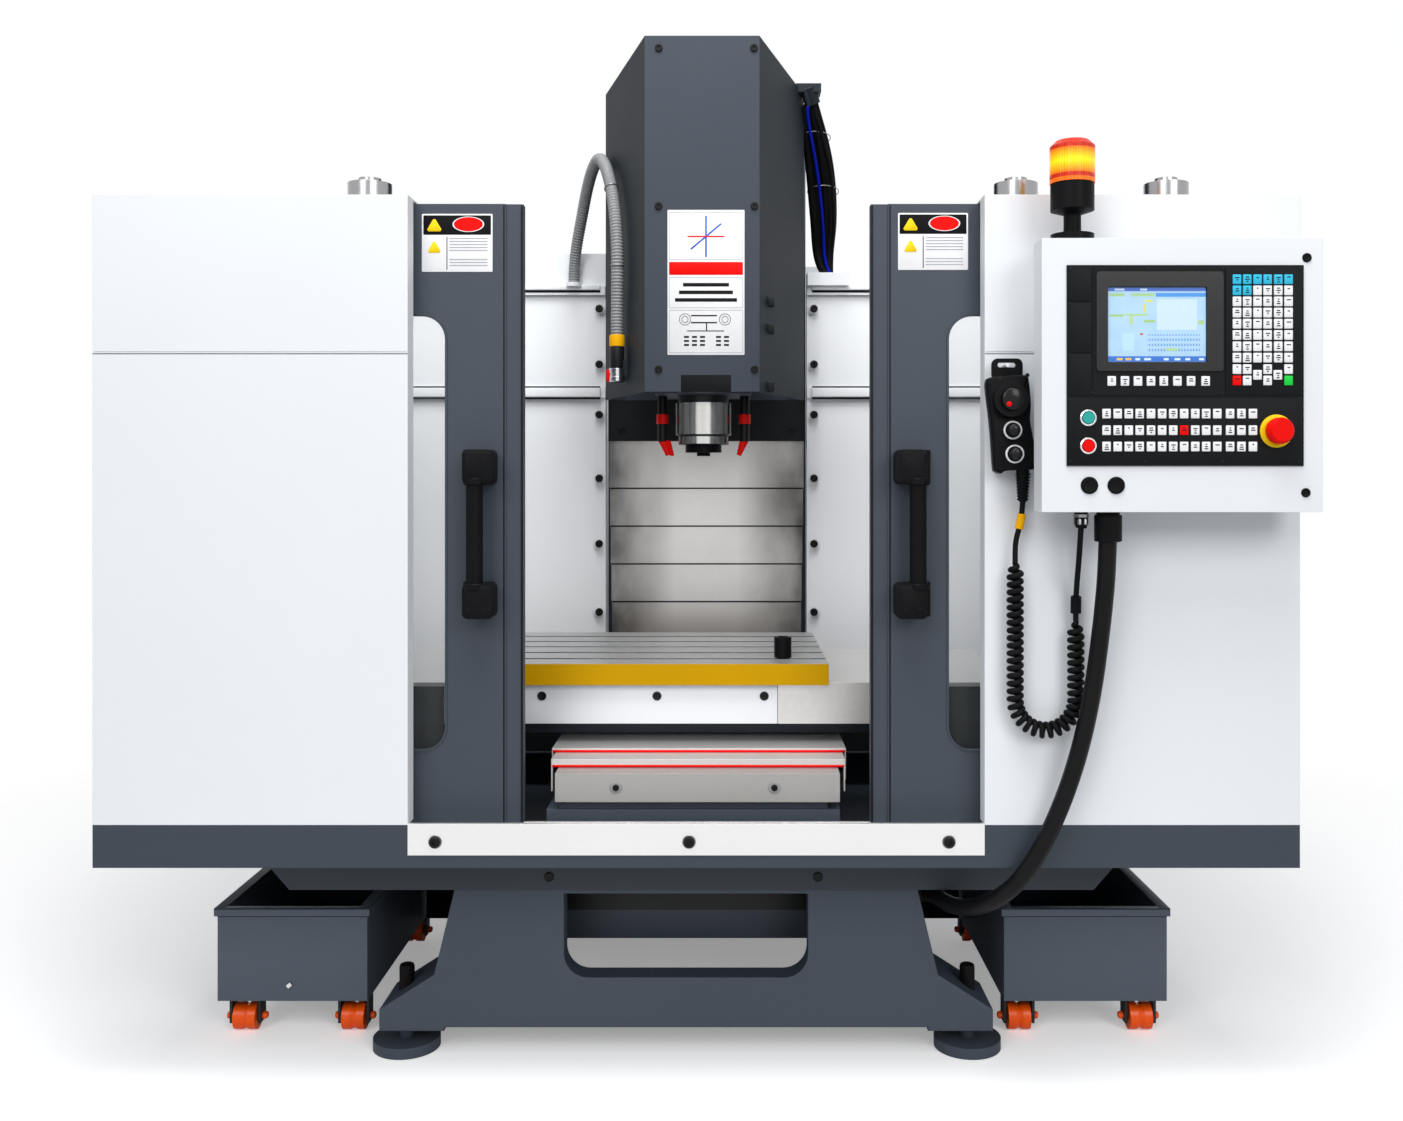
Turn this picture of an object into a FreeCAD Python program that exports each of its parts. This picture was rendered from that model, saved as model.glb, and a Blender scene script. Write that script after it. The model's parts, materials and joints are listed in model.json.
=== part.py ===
"""Vertical machining center with sliding doors, built at its real size in millimetres.

+X is the operator's right, +Y runs from the front to the back and +Z is up.
The origin lies on the floor, below the middle of the machine.
"""
import FreeCAD, Part
import math
import os
from types import SimpleNamespace

import Sketcher

from FreeCAD import Placement, Rotation, Vector

# ---------------------------------------------------------------- driving dimensions
DIMENSIONS = {
    # enclosure
    "enclosure_half_width": 1207.5,
    "enclosure_front": -940,
    "enclosure_back": 215,
    "panel_bottom": 556,
    "panel_top": 1817,
    "panel_sheet": 3,
    "seam_height": 1500,
    "seam_width": 3,
    "seam_depth": 1,
    "opening_half_width": 577,
    "cabinet_return": 46,
    "roof_depth": 300,
    "roof_cap_radius": 45,
    "roof_cap_height": 43,
    "roof_cap_knob_radius": 23,
    "roof_cap_knob_height": 11,
    "roof_cap_setback": 100,
    "left_cap_place": -680,
    "right_cap_place": 661,
    "right_cap_far_place": 973,
    "skirt_bottom": 470,
    "skirt_opening_half_width": 900,
    "skirt_opening_front": -750,
    "skirt_opening_back": 145,
    "bed_passage_half_width": 345,
    "sill_height": 60,
    "track_drop": 21,
    "track_depth": 97,
    "track_rib_width": 8,
    "track_rib_height": 8,
    # sliding doors
    "door_front": -880,
    "door_thickness": 30,
    "door_width": 620,
    "door_open_gap": 356,
    "door_top": 1811,
    "door_seal_width": 35,
    "door_seal_step": 4,
    "window_inset": 157,
    "window_width": 400,
    "window_bottom": 692,
    "window_top": 1583,
    "window_corner": 49,
    "glass_thickness": 10,
    "glass_lap": 12,
    "fit_gap": 0.3,
    "handle_centre": 89,
    "handle_bottom": 968,
    "handle_top": 1307,
    "handle_foot_width": 62,
    "handle_foot_height": 70,
    "handle_foot_depth": 12,
    "handle_reach": 52,
    "handle_tube_radius": 17,
    # base casting
    "base_offset": -27,
    "base_front": -740,
    "base_back": 760,
    "leg_top": 367,
    "leg_waist": 183,
    "leg_bottom": 67,
    "leg_top_half_width": 498,
    "leg_waist_half_width": 542,
    "leg_bottom_half_width": 525,
    "foot_top": 105,
    "foot_bottom": 59,
    "foot_half_width": 661,
    "foot_depth": 150,
    "front_wall": 58,
    "window_half_width": 263,
    "base_window_bottom": 174,
    "base_window_corner": 52,
    "beam_place": -140,
    "beam_bottom": 67,
    "beam_top": 140,
    "side_wall": 62,
    "trunk_half_width": 300,
    "bed_top": 571,
    "bed_step": 12,
    "bed_step_inset": 25,
    "nose_front": -830,
    "nose_bottom": 480,
    "channel_half_width": 110,
    "channel_depth": 60,
    "pad_radius": 73,
    "pad_height": 23,
    "pad_spread": 617,
    "pad_front": -675,
    "pad_back": 690,
    "screw_radius": 16,
    "screw_top": 158,
    "foot_nut_radius": 27,
    "foot_nut_height": 16,
    # chip tray
    "tray_front": -753,
    "tray_back": 215,
    "tray_half_width": 862,
    "tray_flare": 91,
    "tray_sheet": 3,
    "tray_offset": -15,
    # column and rails
    "rail_width": 35,
    "rail_height": 27,
    "y_rail_spread": 200,
    "y_rail_front": -800,
    "y_rail_back": 230,
    "column_half_width": 290,
    "column_front": 290,
    "column_back": 750,
    "column_top": 2250,
    "column_wall": 30,
    "column_slope": 60,
    "z_rail_spread": 180,
    "z_rail_bottom": 760,
    "z_rail_top": 2230,
    "z_rail_height": 30,
    # saddle and Y way cover
    "saddle_half_length": 470,
    "saddle_front": -549,
    "saddle_back": -110,
    "saddle_bottom": 664,
    "saddle_top": 700,
    "saddle_web_front": -460,
    "saddle_web_half_width": 245,
    "saddle_web_bottom": 622,
    "carriage_width": 80,
    "cover_sheet": 3,
    "cover_length": 250,
    "cover_top": 661,
    "cover_step": 8,
    "cover_end_step": 17,
    "cover_half_width": 320,
    "cover_mid_inset": 8,
    "cover_end_inset": 24,
    "cover_skirt_bottom": 577,
    "cover_mid_front": -780,
    "cover_end_front": -840,
    # table
    "table_offset": -113.5,
    "table_length": 800,
    "table_front": -660,
    "table_depth": 590,
    "table_top": 838,
    "table_thickness": 47,
    "slot_count": 5,
    "slot_pitch": 104,
    "slot_width": 18,
    "slot_depth": 30,
    "slot_foot_width": 30,
    "slot_foot_height": 12,
    "x_rail_spread": 125,
    "table_block_half_length": 287,
    "table_block_inset": 20,
    "table_block_drop": 50,
    "apron_plate_bottom": 702,
    "apron_hole_height": 765,
    "apron_plate_hole": 9,
    "apron_plate_hole_spread": 247,
    "x_cover_length": 420,
    "x_cover_top": 794,
    "setter_radius": 20,
    "setter_bore": 14,
    "setter_height": 47,
    "setter_x": 189,
    "setter_y": -551,
    # head, hood and spindle
    "head_half_width": 125,
    "head_front": -350,
    "head_back": 232,
    "head_bottom": 1474,
    "head_top": 2200,
    "head_plate_half_width": 232,
    "head_plate_thickness": 32,
    "head_plate_top": 2050,
    "hood_front": -390,
    "hood_back": -50,
    "hood_front_half_width": 139,
    "hood_back_half_width": 266,
    "hood_bottom": 1459,
    "hood_top": 2322,
    "hood_fall": 43,
    "hood_sheet": 3,
    "hood_foot_half_width": 60,
    "hood_tab_depth": 30,
    "hood_tab_setback": 20,
    "hood_tab_thickness": 4,
    "hood_tab_inset": 60,
    "valve_bottom": 1492,
    "valve_radius": 17,
    "valve_block_reach": 52,
    "valve_block_height": 40,
    "outlet_radius": 21,
    "outlet_length": 46,
    "outlet_bite": 24,
    "outlet_margin": 12,
    "outlet_height": 22,
    "spindle_y": -220,
    "spindle_collar_radius": 64,
    "spindle_sleeve_radius": 71.5,
    "spindle_sleeve_top": 1440,
    "spindle_sleeve_bottom": 1360,
    "spindle_nose_bottom": 1335,
    "spindle_shaft_radius": 45,
    "running_gap": 0.05,
    "taper_mouth_radius": 34.9,
    "taper_depth": 101,
    "plug_flange_radius": 46,
    "plug_flange_height": 20,
    "plug_grip_radius": 17,
    "plug_grip_height": 9,
    "nozzle_spread": 105,
    "nozzle_radius": 12,
    "nozzle_collar_radius": 15,
    "nozzle_collar_top": 1412,
    "nozzle_collar_bottom": 1388,
    "nozzle_stem_bottom": 1345,
    "nozzle_tip_length": 44,
    "nozzle_tip_radius": 6,
    # Z way cover
    "z_apron_front": 200,
    "z_apron_half_width": 282.5,
    "z_apron_sheet": 6,
    "z_apron_bottom": 1356,
    "z_cover_sheet": 1.5,
    "z_cover_half_width": 280,
    "z_cover_first_bottom": 1218,
    "z_cover_pitch": 109,
    "z_cover_height": 162,
    "z_cover_fold": 28,
    # rear walls
    "rear_wall_front": 157,
    "rear_wall_inner": 286,
    "bed_clearance": 5,
    "rear_wall_top": 1794,
    "rear_wall_fold": 30,
    "ledge_height": 1478,
    "ledge_depth": 14,
    "ledge_rise": 31,
    "cable_inlet_half_width": 58,
    "cable_inlet_proud": 36,
    "hose_socket_radius": 22,
    "hose_plate_left": 62,
    "hose_plate_right": 88,
    "hose_plate_height": 94,
    # electrical cabinet
    "power_cabinet_half_width": 400,
    "power_cabinet_front": 770,
    "power_cabinet_back": 1106,
    "power_cabinet_bottom": 650,
    "power_cabinet_top": 1950,
    "power_door_thickness": 20,
    # control box
    "control_left": 660,
    "control_right": 1194,
    "control_front": -1070,
    "control_depth": 63,
    "control_bottom": 1185,
    "control_top": 1706,
    "control_inset": 60,
    "control_sheet": 3,
    "panel_left": 707,
    "panel_right": 1156,
    "panel_low": 1273,
    "panel_high": 1654,
    "panel_plate": 4,
    "screen_left": 784,
    "screen_right": 971,
    "screen_low": 1470,
    "screen_high": 1612,
    "screen_plate": 2,
    "button_x": 746,
    "start_z": 1364,
    "stop_z": 1311,
    "button_radius": 11,
    "button_bezel": 15.7,
    "button_proud": 5,
    "bezel_proud": 3,
    "emergency_x": 1103,
    "emergency_z": 1339,
    "emergency_ring": 30.8,
    "emergency_neck": 13,
    "emergency_cap": 25,
    "emergency_cap_depth": 20,
    "emergency_gap": 9,
    "beacon_x": 729,
    "beacon_y": -1028,
    "beacon_foot_radius": 41,
    "beacon_foot_height": 14,
    "beacon_stem_radius": 16.6,
    "beacon_stem_top": 1766,
    "beacon_base_radius": 41.5,
    "beacon_base_top": 1818,
    "beacon_lens_radius": 42.9,
    "beacon_lens_top": 1900,
    "beacon_lens_wall": 3,
    # hand pendant
    "pendant_x": 622,
    "pendant_z": 1359,
    "pendant_width": 79,
    "pendant_height": 187,
    "pendant_front": -985,
    "pendant_thickness": 36,
    "pendant_tilt": 4.7,
    "hanger_width": 60,
    "hanger_height": 32,
    "hanger_sheet": 4,
    "hanger_slot_width": 34,
    "hanger_slot_height": 9,
    "peg_radius": 4,
    "peg_rise": 20,
    "peg_proud": 5,
    "handwheel_rise": 45,
    "handwheel_radius": 34,
    "handwheel_thickness": 14,
    "lead_offset": 17,
    "grommet_low_radius": 9,
    "grommet_high_radius": 13,
    "grommet_gap": 1.3,
    "tail_gland_radius": 13,
    "conduit_gland_radius": 22,
    "gland_lap": 4,
    "tail_sleeve_radius": 11,
    "lead_sleeve_radius": 8,
    "conduit_sleeve_radius": 20,
    "elbow_sleeve_radius": 21,
    "elbow_setback": 14,
    "elbow_reach": 26,
    "elbow_length": 60,
    "knob_radius": 12,
    "knob_height": 13,
    "axis_knob_rise": -15,
    "step_knob_rise": -62,
    # coolant tanks
    "tank_left_centre": -905.5,
    "tank_right_centre": 858,
    "tank_left_width": 345,
    "tank_right_width": 374,
    "tank_front": -655,
    "tank_length": 700,
    "tank_bottom": 87,
    "tank_top": 294,
    "tank_sheet": 3,
    "tank_rim_height": 17,
    "tank_rim_proud": 6,
    "wheel_radius": 30,
    "wheel_width": 50,
    "wheel_groove": 4,
    "axle_radius": 6,
    "fork_gap": 4,
    "fork_sheet": 6,
    "caster_inset_x": 50,
    "caster_inset_y": 40,
}

# ---------------------------------------------------------------- routes of the cords and hoses
AIR_HOSE = [
    (-374, 140, 1802),
    (-374, 140, 1840),
    (-364, 118, 1905),
    (-345, 80, 1975),
    (-324, 25, 2045),
    (-300, -40, 2090),
    (-275, -108, 2098),
    (-252, -170, 2052),
    (-234, -213, 1985),
    (-222, -240, 1905),
    (-217, -252, 1820),
    (-218, -248, 1735),
    (-219, -241, 1670),
    (-219, -241, 1613),
]
CABLE_BUNDLE = [
    (288, -66, 2250),
    (302, -46, 2210),
    (319, -16, 2164),
    (335, 20, 2108),
    (346, 58, 2042),
    (351, 98, 1964),
    (347, 128, 1908),
    (344, 140, 1868),
    (344, 140, 1829),
]
CONDUIT = [
    (798, -1028, 1150),
    (797, -1025, 1075),
    (793, -1017, 1000),
    (787, -1008, 925),
    (778, -1004, 850),
    (765, -1000, 775),
    (748, -994, 700),
    (727, -988, 630),
    (701, -981, 562),
    (671, -976, 500),
    (636, -961, 443),
    (600, -922, 398),
    (566, -867, 366),
    (542, -808, 349),
    (523, -752, 343),
    (513, -700, 342),
]
LEAD = [
    (647, -967, 1203),
    (645, -967, 1174),
    (639, -967, 1147),
    (632, -967, 1122),
    (632, -967, 1095),
]
TAIL = [
    (752, -967, 978),
    (752, -967, 1007),
    (751, -979, 1044),
    (749, -998, 1079),
    (747, -1015, 1116),
    (747, -1024, 1155),
]
CURL = {"turns": 41, "radius": 12, "wire": 5.5, "bend": 60, "low": 811, "ramp_turns": 1.5}
HOSE = {"ribs": 46, "crest": 17, "valley": 14, "bore": 11.5, "sides": 10}
CONDUIT_RADIUS = 17.5
BUNDLE_RADIUS = 17

document = FreeCAD.newDocument("machining_center")
sheet = document.addObject("Spreadsheet::Sheet", "Sizes")


class Size:
    """A length that carries its number and the spreadsheet expression that gives it."""

    def __init__(self, number, text):
        self.number = number
        self.text = text

    @staticmethod
    def of(value):
        """Make a Size of a plain number and leave a Size as it is."""
        if isinstance(value, Size):
            return value
        return Size(float(value), "%.9g" % value)

    def __add__(self, other):
        other = Size.of(other)
        return Size(self.number + other.number, "(%s + %s)" % (self.text, other.text))

    def __sub__(self, other):
        other = Size.of(other)
        return Size(self.number - other.number, "(%s - %s)" % (self.text, other.text))

    def __mul__(self, other):
        other = Size.of(other)
        return Size(self.number * other.number, "(%s * %s)" % (self.text, other.text))

    def __truediv__(self, other):
        other = Size.of(other)
        return Size(self.number / other.number, "(%s / %s)" % (self.text, other.text))

    def __neg__(self):
        return Size(-self.number, "(-1 * %s)" % self.text)

    def __radd__(self, other):
        return Size.of(other) + self

    def __rsub__(self, other):
        return Size.of(other) - self

    def __rmul__(self, other):
        return Size.of(other) * self


def fill_sheet():
    """Write every driving dimension to its own cell and return them all as Sizes."""
    sizes = {}
    for row, (alias, number) in enumerate(DIMENSIONS.items(), start=1):
        sheet.set("A%d" % row, alias)
        sheet.set("B%d" % row, "%.9g" % number)
        sheet.setAlias("B%d" % row, alias)
        sizes[alias] = Size(float(number), "Sizes." + alias)
    document.recompute()
    return SimpleNamespace(**sizes)


d = fill_sheet()
nodes = []


# ---------------------------------------------------------------- modelling helpers
def bind(thing, prop, size):
    """Tie one property of an object to a size."""
    thing.setExpression(prop, Size.of(size).text)


def place(thing, x=0, y=0, z=0, rotation=None):
    """Tie an object's position to sizes and give it a fixed rotation."""
    x = Size.of(x)
    y = Size.of(y)
    z = Size.of(z)
    corner = Vector(x.number, y.number, z.number)
    thing.Placement = Placement(corner, rotation or Rotation())
    bind(thing, "Placement.Base.x", x)
    bind(thing, "Placement.Base.y", y)
    bind(thing, "Placement.Base.z", z)
    return thing


def box(x0, x1, y0, y1, z0, z1):
    """A block between two corners."""
    block = document.addObject("Part::Box", "Block")
    bind(block, "Length", Size.of(x1) - x0)
    bind(block, "Width", Size.of(y1) - y0)
    bind(block, "Height", Size.of(z1) - z0)
    return place(block, x0, y0, z0)


AXES = {
    "x": Rotation(Vector(0, 1, 0), 90),
    "y": Rotation(Vector(1, 0, 0), -90),
    "z": Rotation(),
    "-y": Rotation(Vector(1, 0, 0), 90),
    "-z": Rotation(Vector(1, 0, 0), 180),
}


def cylinder(axis, x, y, z, radius, length):
    """A round bar that starts at a point and runs along an axis."""
    bar = document.addObject("Part::Cylinder", "Bar")
    bind(bar, "Radius", radius)
    bind(bar, "Height", length)
    return place(bar, x, y, z, AXES[axis])


def cone(axis, x, y, z, start_radius, end_radius, length):
    """A tapered bar that starts at a point and runs along an axis."""
    bar = document.addObject("Part::Cone", "Taper")
    bind(bar, "Radius1", start_radius)
    bind(bar, "Radius2", end_radius)
    bind(bar, "Height", length)
    return place(bar, x, y, z, AXES[axis])


def fuse(*parts):
    """One solid of several that touch or overlap."""
    whole = document.addObject("Part::MultiFuse", "Union")
    whole.Shapes = list(parts)
    whole.Refine = True
    return whole


def cut(body, *tools):
    """A solid with material taken away."""
    rest = document.addObject("Part::Cut", "Cut")
    rest.Base = body
    rest.Tool = tools[0] if len(tools) == 1 else fuse(*tools)
    return rest


def common(first, second):
    """The space that two solids share."""
    shared = document.addObject("Part::Common", "Shared")
    shared.Base = first
    shared.Tool = second
    return shared


def group(*parts):
    """Several separate solids that are one node."""
    whole = document.addObject("Part::Compound", "Group")
    whole.Links = list(parts)
    return whole


def node(name, thing):
    """Give a finished sub-part the name of its node."""
    thing.Label = name
    nodes.append(thing)
    return thing


PLANES = {
    "front": ("XZ_Plane", Vector(0, 1, 0)),
    "side": ("YZ_Plane", Vector(1, 0, 0)),
    "top": ("XY_Plane", Vector(0, 0, 1)),
}


def origin_plane(body, role):
    """The origin plane of a body that has the given role."""
    for feature in body.Origin.OriginFeatures:
        if feature.Role == role:
            return feature
    raise ValueError(role)


def outline(body, view, points):
    """A closed sketch through corners whose two coordinates are bound to sizes."""
    sketch = body.newObject("Sketcher::SketchObject", "Outline")
    sketch.AttachmentSupport = [(origin_plane(body, PLANES[view][0]), "")]
    sketch.MapMode = "FlatFace"
    corners = [(Size.of(u), Size.of(v)) for u, v in points]
    count = len(corners)
    for index in range(count):
        start = corners[index]
        end = corners[(index + 1) % count]
        line = Part.LineSegment(
            Vector(start[0].number, start[1].number, 0),
            Vector(end[0].number, end[1].number, 0),
        )
        sketch.addGeometry(line, False)
    for index in range(count):
        sketch.addConstraint(
            Sketcher.Constraint("Coincident", index, 2, (index + 1) % count, 1)
        )
    for index, corner in enumerate(corners):
        for kind, size in zip(("DistanceX", "DistanceY"), corner):
            number = sketch.addConstraint(
                Sketcher.Constraint(kind, -1, 1, index, 1, size.number)
            )
            sketch.setExpression("Constraints[%d]" % number, size.text)
    return sketch


def prism(view, points, start, length):
    """A profile in the front, side or top view, carried straight along the third axis."""
    body = document.addObject("PartDesign::Body", "Prism")
    sketch = outline(body, view, points)
    pad = body.newObject("PartDesign::Pad", "Pad")
    pad.Profile = sketch
    pad.UseCustomVector = True
    pad.Direction = PLANES[view][1]
    bind(pad, "Length", length)
    offsets = {"front": (0, start, 0), "side": (start, 0, 0), "top": (0, 0, start)}
    return place(body, *offsets[view])


def revolve(points, x, y, z, axis="z"):
    """A turned solid: a half profile of radius and height, turned about its own axis."""
    body = document.addObject("PartDesign::Body", "Turned")
    sketch = outline(body, "front", points)
    turned = body.newObject("PartDesign::Revolution", "Revolution")
    turned.Profile = sketch
    turned.ReferenceAxis = (sketch, ["V_Axis"])
    turned.Angle = 360
    return place(body, x, y, z, AXES[axis])


def rounded_hole(x0, x1, y0, y1, z0, z1, radius):
    """A block along Y with four round corners, used to cut windows."""
    parts = [box(x0 + radius, x1 - radius, y0, y1, z0, z1)]
    parts.append(box(x0, x1, y0, y1, z0 + radius, z1 - radius))
    for x in (x0 + radius, x1 - radius):
        for z in (z0 + radius, z1 - radius):
            parts.append(cylinder("y", x, y0, z, radius, y1 - y0))
    return fuse(*parts)


# ---------------------------------------------------------------- base and column
def make_base():
    """The cast base: a hollow frame on flared feet, with the bed for the Y ways on top."""
    middle = d.base_offset
    frame = prism(
        "front",
        [
            (middle - d.leg_top_half_width, d.leg_top),
            (middle - d.leg_waist_half_width, d.leg_waist),
            (middle - d.leg_bottom_half_width, d.leg_bottom),
            (middle + d.leg_bottom_half_width, d.leg_bottom),
            (middle + d.leg_waist_half_width, d.leg_waist),
            (middle + d.leg_top_half_width, d.leg_top),
        ],
        d.base_front,
        d.base_back - d.base_front,
    )
    inner = d.leg_top_half_width - d.side_wall
    back_room = box(
        middle - inner,
        middle + inner,
        d.beam_place + d.front_wall,
        d.base_back - d.front_wall,
        d.leg_bottom - 1,
        d.leg_top - d.side_wall,
    )
    front_room = box(
        middle - inner,
        middle + inner,
        d.base_front + d.front_wall,
        d.beam_place + d.front_wall + 1,
        d.leg_bottom - 1,
        d.leg_top + 1,
    )
    window = rounded_hole(
        middle - d.window_half_width,
        middle + d.window_half_width,
        d.base_front - 1,
        d.base_front + d.front_wall + 1,
        d.base_window_bottom,
        d.leg_top + d.base_window_corner + 1,
        d.base_window_corner,
    )
    beam = box(
        middle - inner - 1,
        middle + inner + 1,
        d.beam_place,
        d.beam_place + d.front_wall,
        d.beam_bottom,
        d.beam_top,
    )
    pieces = [cut(frame, front_room, back_room, window), beam]
    for side in (-1, 1):
        for start in (d.base_front, d.base_back - d.foot_depth):
            pieces.append(
                prism(
                    "front",
                    [
                        (middle + side * (d.leg_waist_half_width - 4), d.leg_waist),
                        (middle + side * d.foot_half_width, d.foot_top),
                        (middle + side * d.foot_half_width, d.foot_bottom),
                        (middle + side * (d.leg_bottom_half_width - 4), d.foot_bottom),
                    ],
                    start,
                    d.foot_depth,
                )
            )
    trunk = box(
        middle - d.trunk_half_width,
        middle + d.trunk_half_width,
        d.base_front,
        d.base_back,
        d.leg_top - d.bed_step,
        d.bed_top - 3 * d.bed_step,
    )
    nose = box(
        middle - d.trunk_half_width + d.bed_step,
        middle + d.trunk_half_width + 2 * d.bed_step,
        d.nose_front,
        d.base_back,
        d.nose_bottom,
        d.bed_top - d.bed_step,
    )
    nose_middle = middle + d.bed_step * 1.5
    bed_half = d.trunk_half_width + d.bed_step * 0.5 - d.bed_step_inset
    bed = box(
        nose_middle - bed_half,
        nose_middle + bed_half,
        d.nose_front + d.bed_step,
        d.base_back,
        d.nose_bottom + 1,
        d.bed_top,
    )
    flume = box(
        -d.channel_half_width,
        d.channel_half_width,
        d.nose_front + d.front_wall,
        d.rear_wall_front,
        d.bed_top - d.channel_depth,
        d.bed_top + 1,
    )
    pieces.append(cut(fuse(trunk, nose, bed), flume))
    for side in (-1, 1):
        pieces.append(rail_y(side))
    holes = []
    for x, y in foot_places():
        low = d.foot_bottom - 1
        holes.append(cylinder("z", x, y, low, d.screw_radius + d.fit_gap, d.leg_waist - low + 1))
    node("base_casting", cut(fuse(*pieces), *holes))


def foot_places():
    """Where the four levelling screws stand."""
    return [
        (d.base_offset + side * d.pad_spread, y) for side in (-1, 1) for y in (d.pad_front, d.pad_back)
    ]


def rail_y(side):
    """One linear rail of the Y ways, screwed down on the bed."""
    middle = side * d.y_rail_spread
    return box(
        middle - d.rail_width / 2,
        middle + d.rail_width / 2,
        d.y_rail_front,
        d.y_rail_back,
        d.bed_top,
        d.bed_top + d.rail_height,
    )


def make_feet():
    """Four levelling feet: a round pad, a screw through the foot of the base and its nut."""
    feet = []
    for x, y in foot_places():
        pad = cylinder("z", x, y, 0, d.pad_radius, d.pad_height)
        screw = cylinder("z", x, y, d.pad_height - 1, d.screw_radius, d.screw_top - d.pad_height + 1)
        nut = cylinder("z", x, y, d.foot_bottom - d.foot_nut_height, d.foot_nut_radius, d.foot_nut_height)
        feet.append(fuse(pad, screw, nut))
    node("leveling_feet", group(*feet))


def make_column():
    """The cast column behind the table, with the two rails of the Z ways on its front."""
    shell = prism(
        "side",
        [
            (d.column_front, d.bed_top),
            (d.column_back, d.bed_top),
            (d.column_back, d.power_cabinet_top),
            (d.column_back - d.column_slope, d.column_top),
            (d.column_front, d.column_top),
        ],
        -d.column_half_width,
        2 * d.column_half_width,
    )
    room = box(
        d.column_wall - d.column_half_width,
        d.column_half_width - d.column_wall,
        d.column_front + d.column_wall,
        d.column_back - d.column_slope - d.column_wall,
        d.bed_top + d.column_wall,
        d.column_top - d.column_wall,
    )
    hatch = box(
        2 * d.column_wall - d.column_half_width,
        d.column_half_width - 2 * d.column_wall,
        d.column_back - d.column_slope - d.column_wall - 1,
        d.column_back + 1,
        d.power_cabinet_bottom + d.column_wall,
        d.power_cabinet_top - d.column_wall,
    )
    pieces = [cut(shell, room, hatch)]
    for side in (-1, 1):
        middle = side * d.z_rail_spread
        pieces.append(
            box(
                middle - d.rail_width / 2,
                middle + d.rail_width / 2,
                d.column_front - d.z_rail_height,
                d.column_front,
                d.z_rail_bottom,
                d.z_rail_top,
            )
        )
    node("column", fuse(*pieces))


def make_chip_tray():
    """The folded tray between base and enclosure, its side walls sloping outwards."""
    middle = d.tray_offset
    top = d.tray_half_width + d.tray_flare
    sheet_side = d.tray_sheet * 1.4
    outer = [
        (middle - top, d.skirt_bottom),
        (middle - d.tray_half_width, d.leg_top),
        (middle + d.tray_half_width, d.leg_top),
        (middle + top, d.skirt_bottom),
    ]
    inner = [
        (middle - top + sheet_side, d.skirt_bottom + 0.01),
        (middle - d.tray_half_width + d.tray_sheet * 0.4, d.leg_top + d.tray_sheet),
        (middle + d.tray_half_width - d.tray_sheet * 0.4, d.leg_top + d.tray_sheet),
        (middle + top - sheet_side, d.skirt_bottom + 0.01),
    ]
    length = d.tray_back - d.tray_front
    shell = prism("front", outer, d.tray_front, length)
    room = prism("front", inner, d.tray_front + d.tray_sheet, length - 2 * d.tray_sheet)
    passage = box(
        d.base_offset - d.trunk_half_width,
        d.base_offset + d.trunk_half_width,
        d.base_front,
        d.tray_back + 1,
        d.leg_top - 1,
        d.skirt_bottom + 1,
    )
    node("chip_tray", cut(shell, room, passage))


# ---------------------------------------------------------------- enclosure
def make_skirt():
    """The grey frame of folded sheet that the enclosure stands on."""
    half = d.enclosure_half_width
    t = d.panel_sheet
    outer = box(-half, half, d.enclosure_front, d.enclosure_back, d.skirt_bottom, d.panel_bottom)
    room = box(
        t - half, half - t, d.enclosure_front + t, d.enclosure_back - t, d.skirt_bottom + t, d.panel_bottom + 1
    )
    opening = box(
        -d.skirt_opening_half_width,
        d.skirt_opening_half_width,
        d.skirt_opening_front,
        d.skirt_opening_back,
        d.skirt_bottom - 1,
        d.panel_bottom + 1,
    )
    passage = box(
        -d.bed_passage_half_width,
        d.bed_passage_half_width,
        d.skirt_opening_back - 1,
        d.enclosure_back + 1,
        d.skirt_bottom - 1,
        d.panel_bottom + 1,
    )
    node("enclosure_skirt", cut(outer, room, opening, passage))


def make_cabinet(name, side):
    """One side of the enclosure: front panel with its return, side panel and a strip of roof."""
    half = d.enclosure_half_width
    t = d.panel_sheet
    front = d.enclosure_front

    def slab(x0, x1, y0, y1, z0, z1):
        """A sheet given from the middle of the machine outwards."""
        if side > 0:
            return box(x0, x1, y0, y1, z0, z1)
        return box(-Size.of(x1), -Size.of(x0), y0, y1, z0, z1)

    low = d.panel_bottom
    high = d.panel_top
    face = slab(d.opening_half_width, half, front, front + t, low, high)
    seam = slab(
        d.opening_half_width - 1, half + 1, front - 1, front + d.seam_depth, d.seam_height, d.seam_height + d.seam_width
    )
    inner = slab(d.opening_half_width, d.opening_half_width + t, front, front + d.cabinet_return, low, high)
    outer = slab(half - t, half, front, d.enclosure_back, low, high)
    roof = slab(d.opening_half_width, half, front, front + d.roof_depth, high - t, high)
    pieces = [cut(face, seam), inner, outer, roof]
    places = [d.left_cap_place] if side < 0 else [d.right_cap_place, d.right_cap_far_place]
    for x in places:
        y = front + d.roof_cap_setback
        pieces.append(cylinder("z", x, y, high - t, d.roof_cap_radius, d.roof_cap_height + t))
        pieces.append(
            cylinder("z", x, y, high + d.roof_cap_height - 1, d.roof_cap_knob_radius, d.roof_cap_knob_height + 1)
        )
    if side > 0:
        x, z = pendant_peg()
        pieces.append(cylinder("-y", x, front + 1, z, d.peg_radius, front - d.pendant_front + d.peg_proud))
    node(name, fuse(*pieces))


def pendant_peg():
    """Where the peg that carries the pendant comes out of the right cabinet."""
    return pendant_point(Size.of(0), d.pendant_height / 2 + d.peg_rise)


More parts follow.
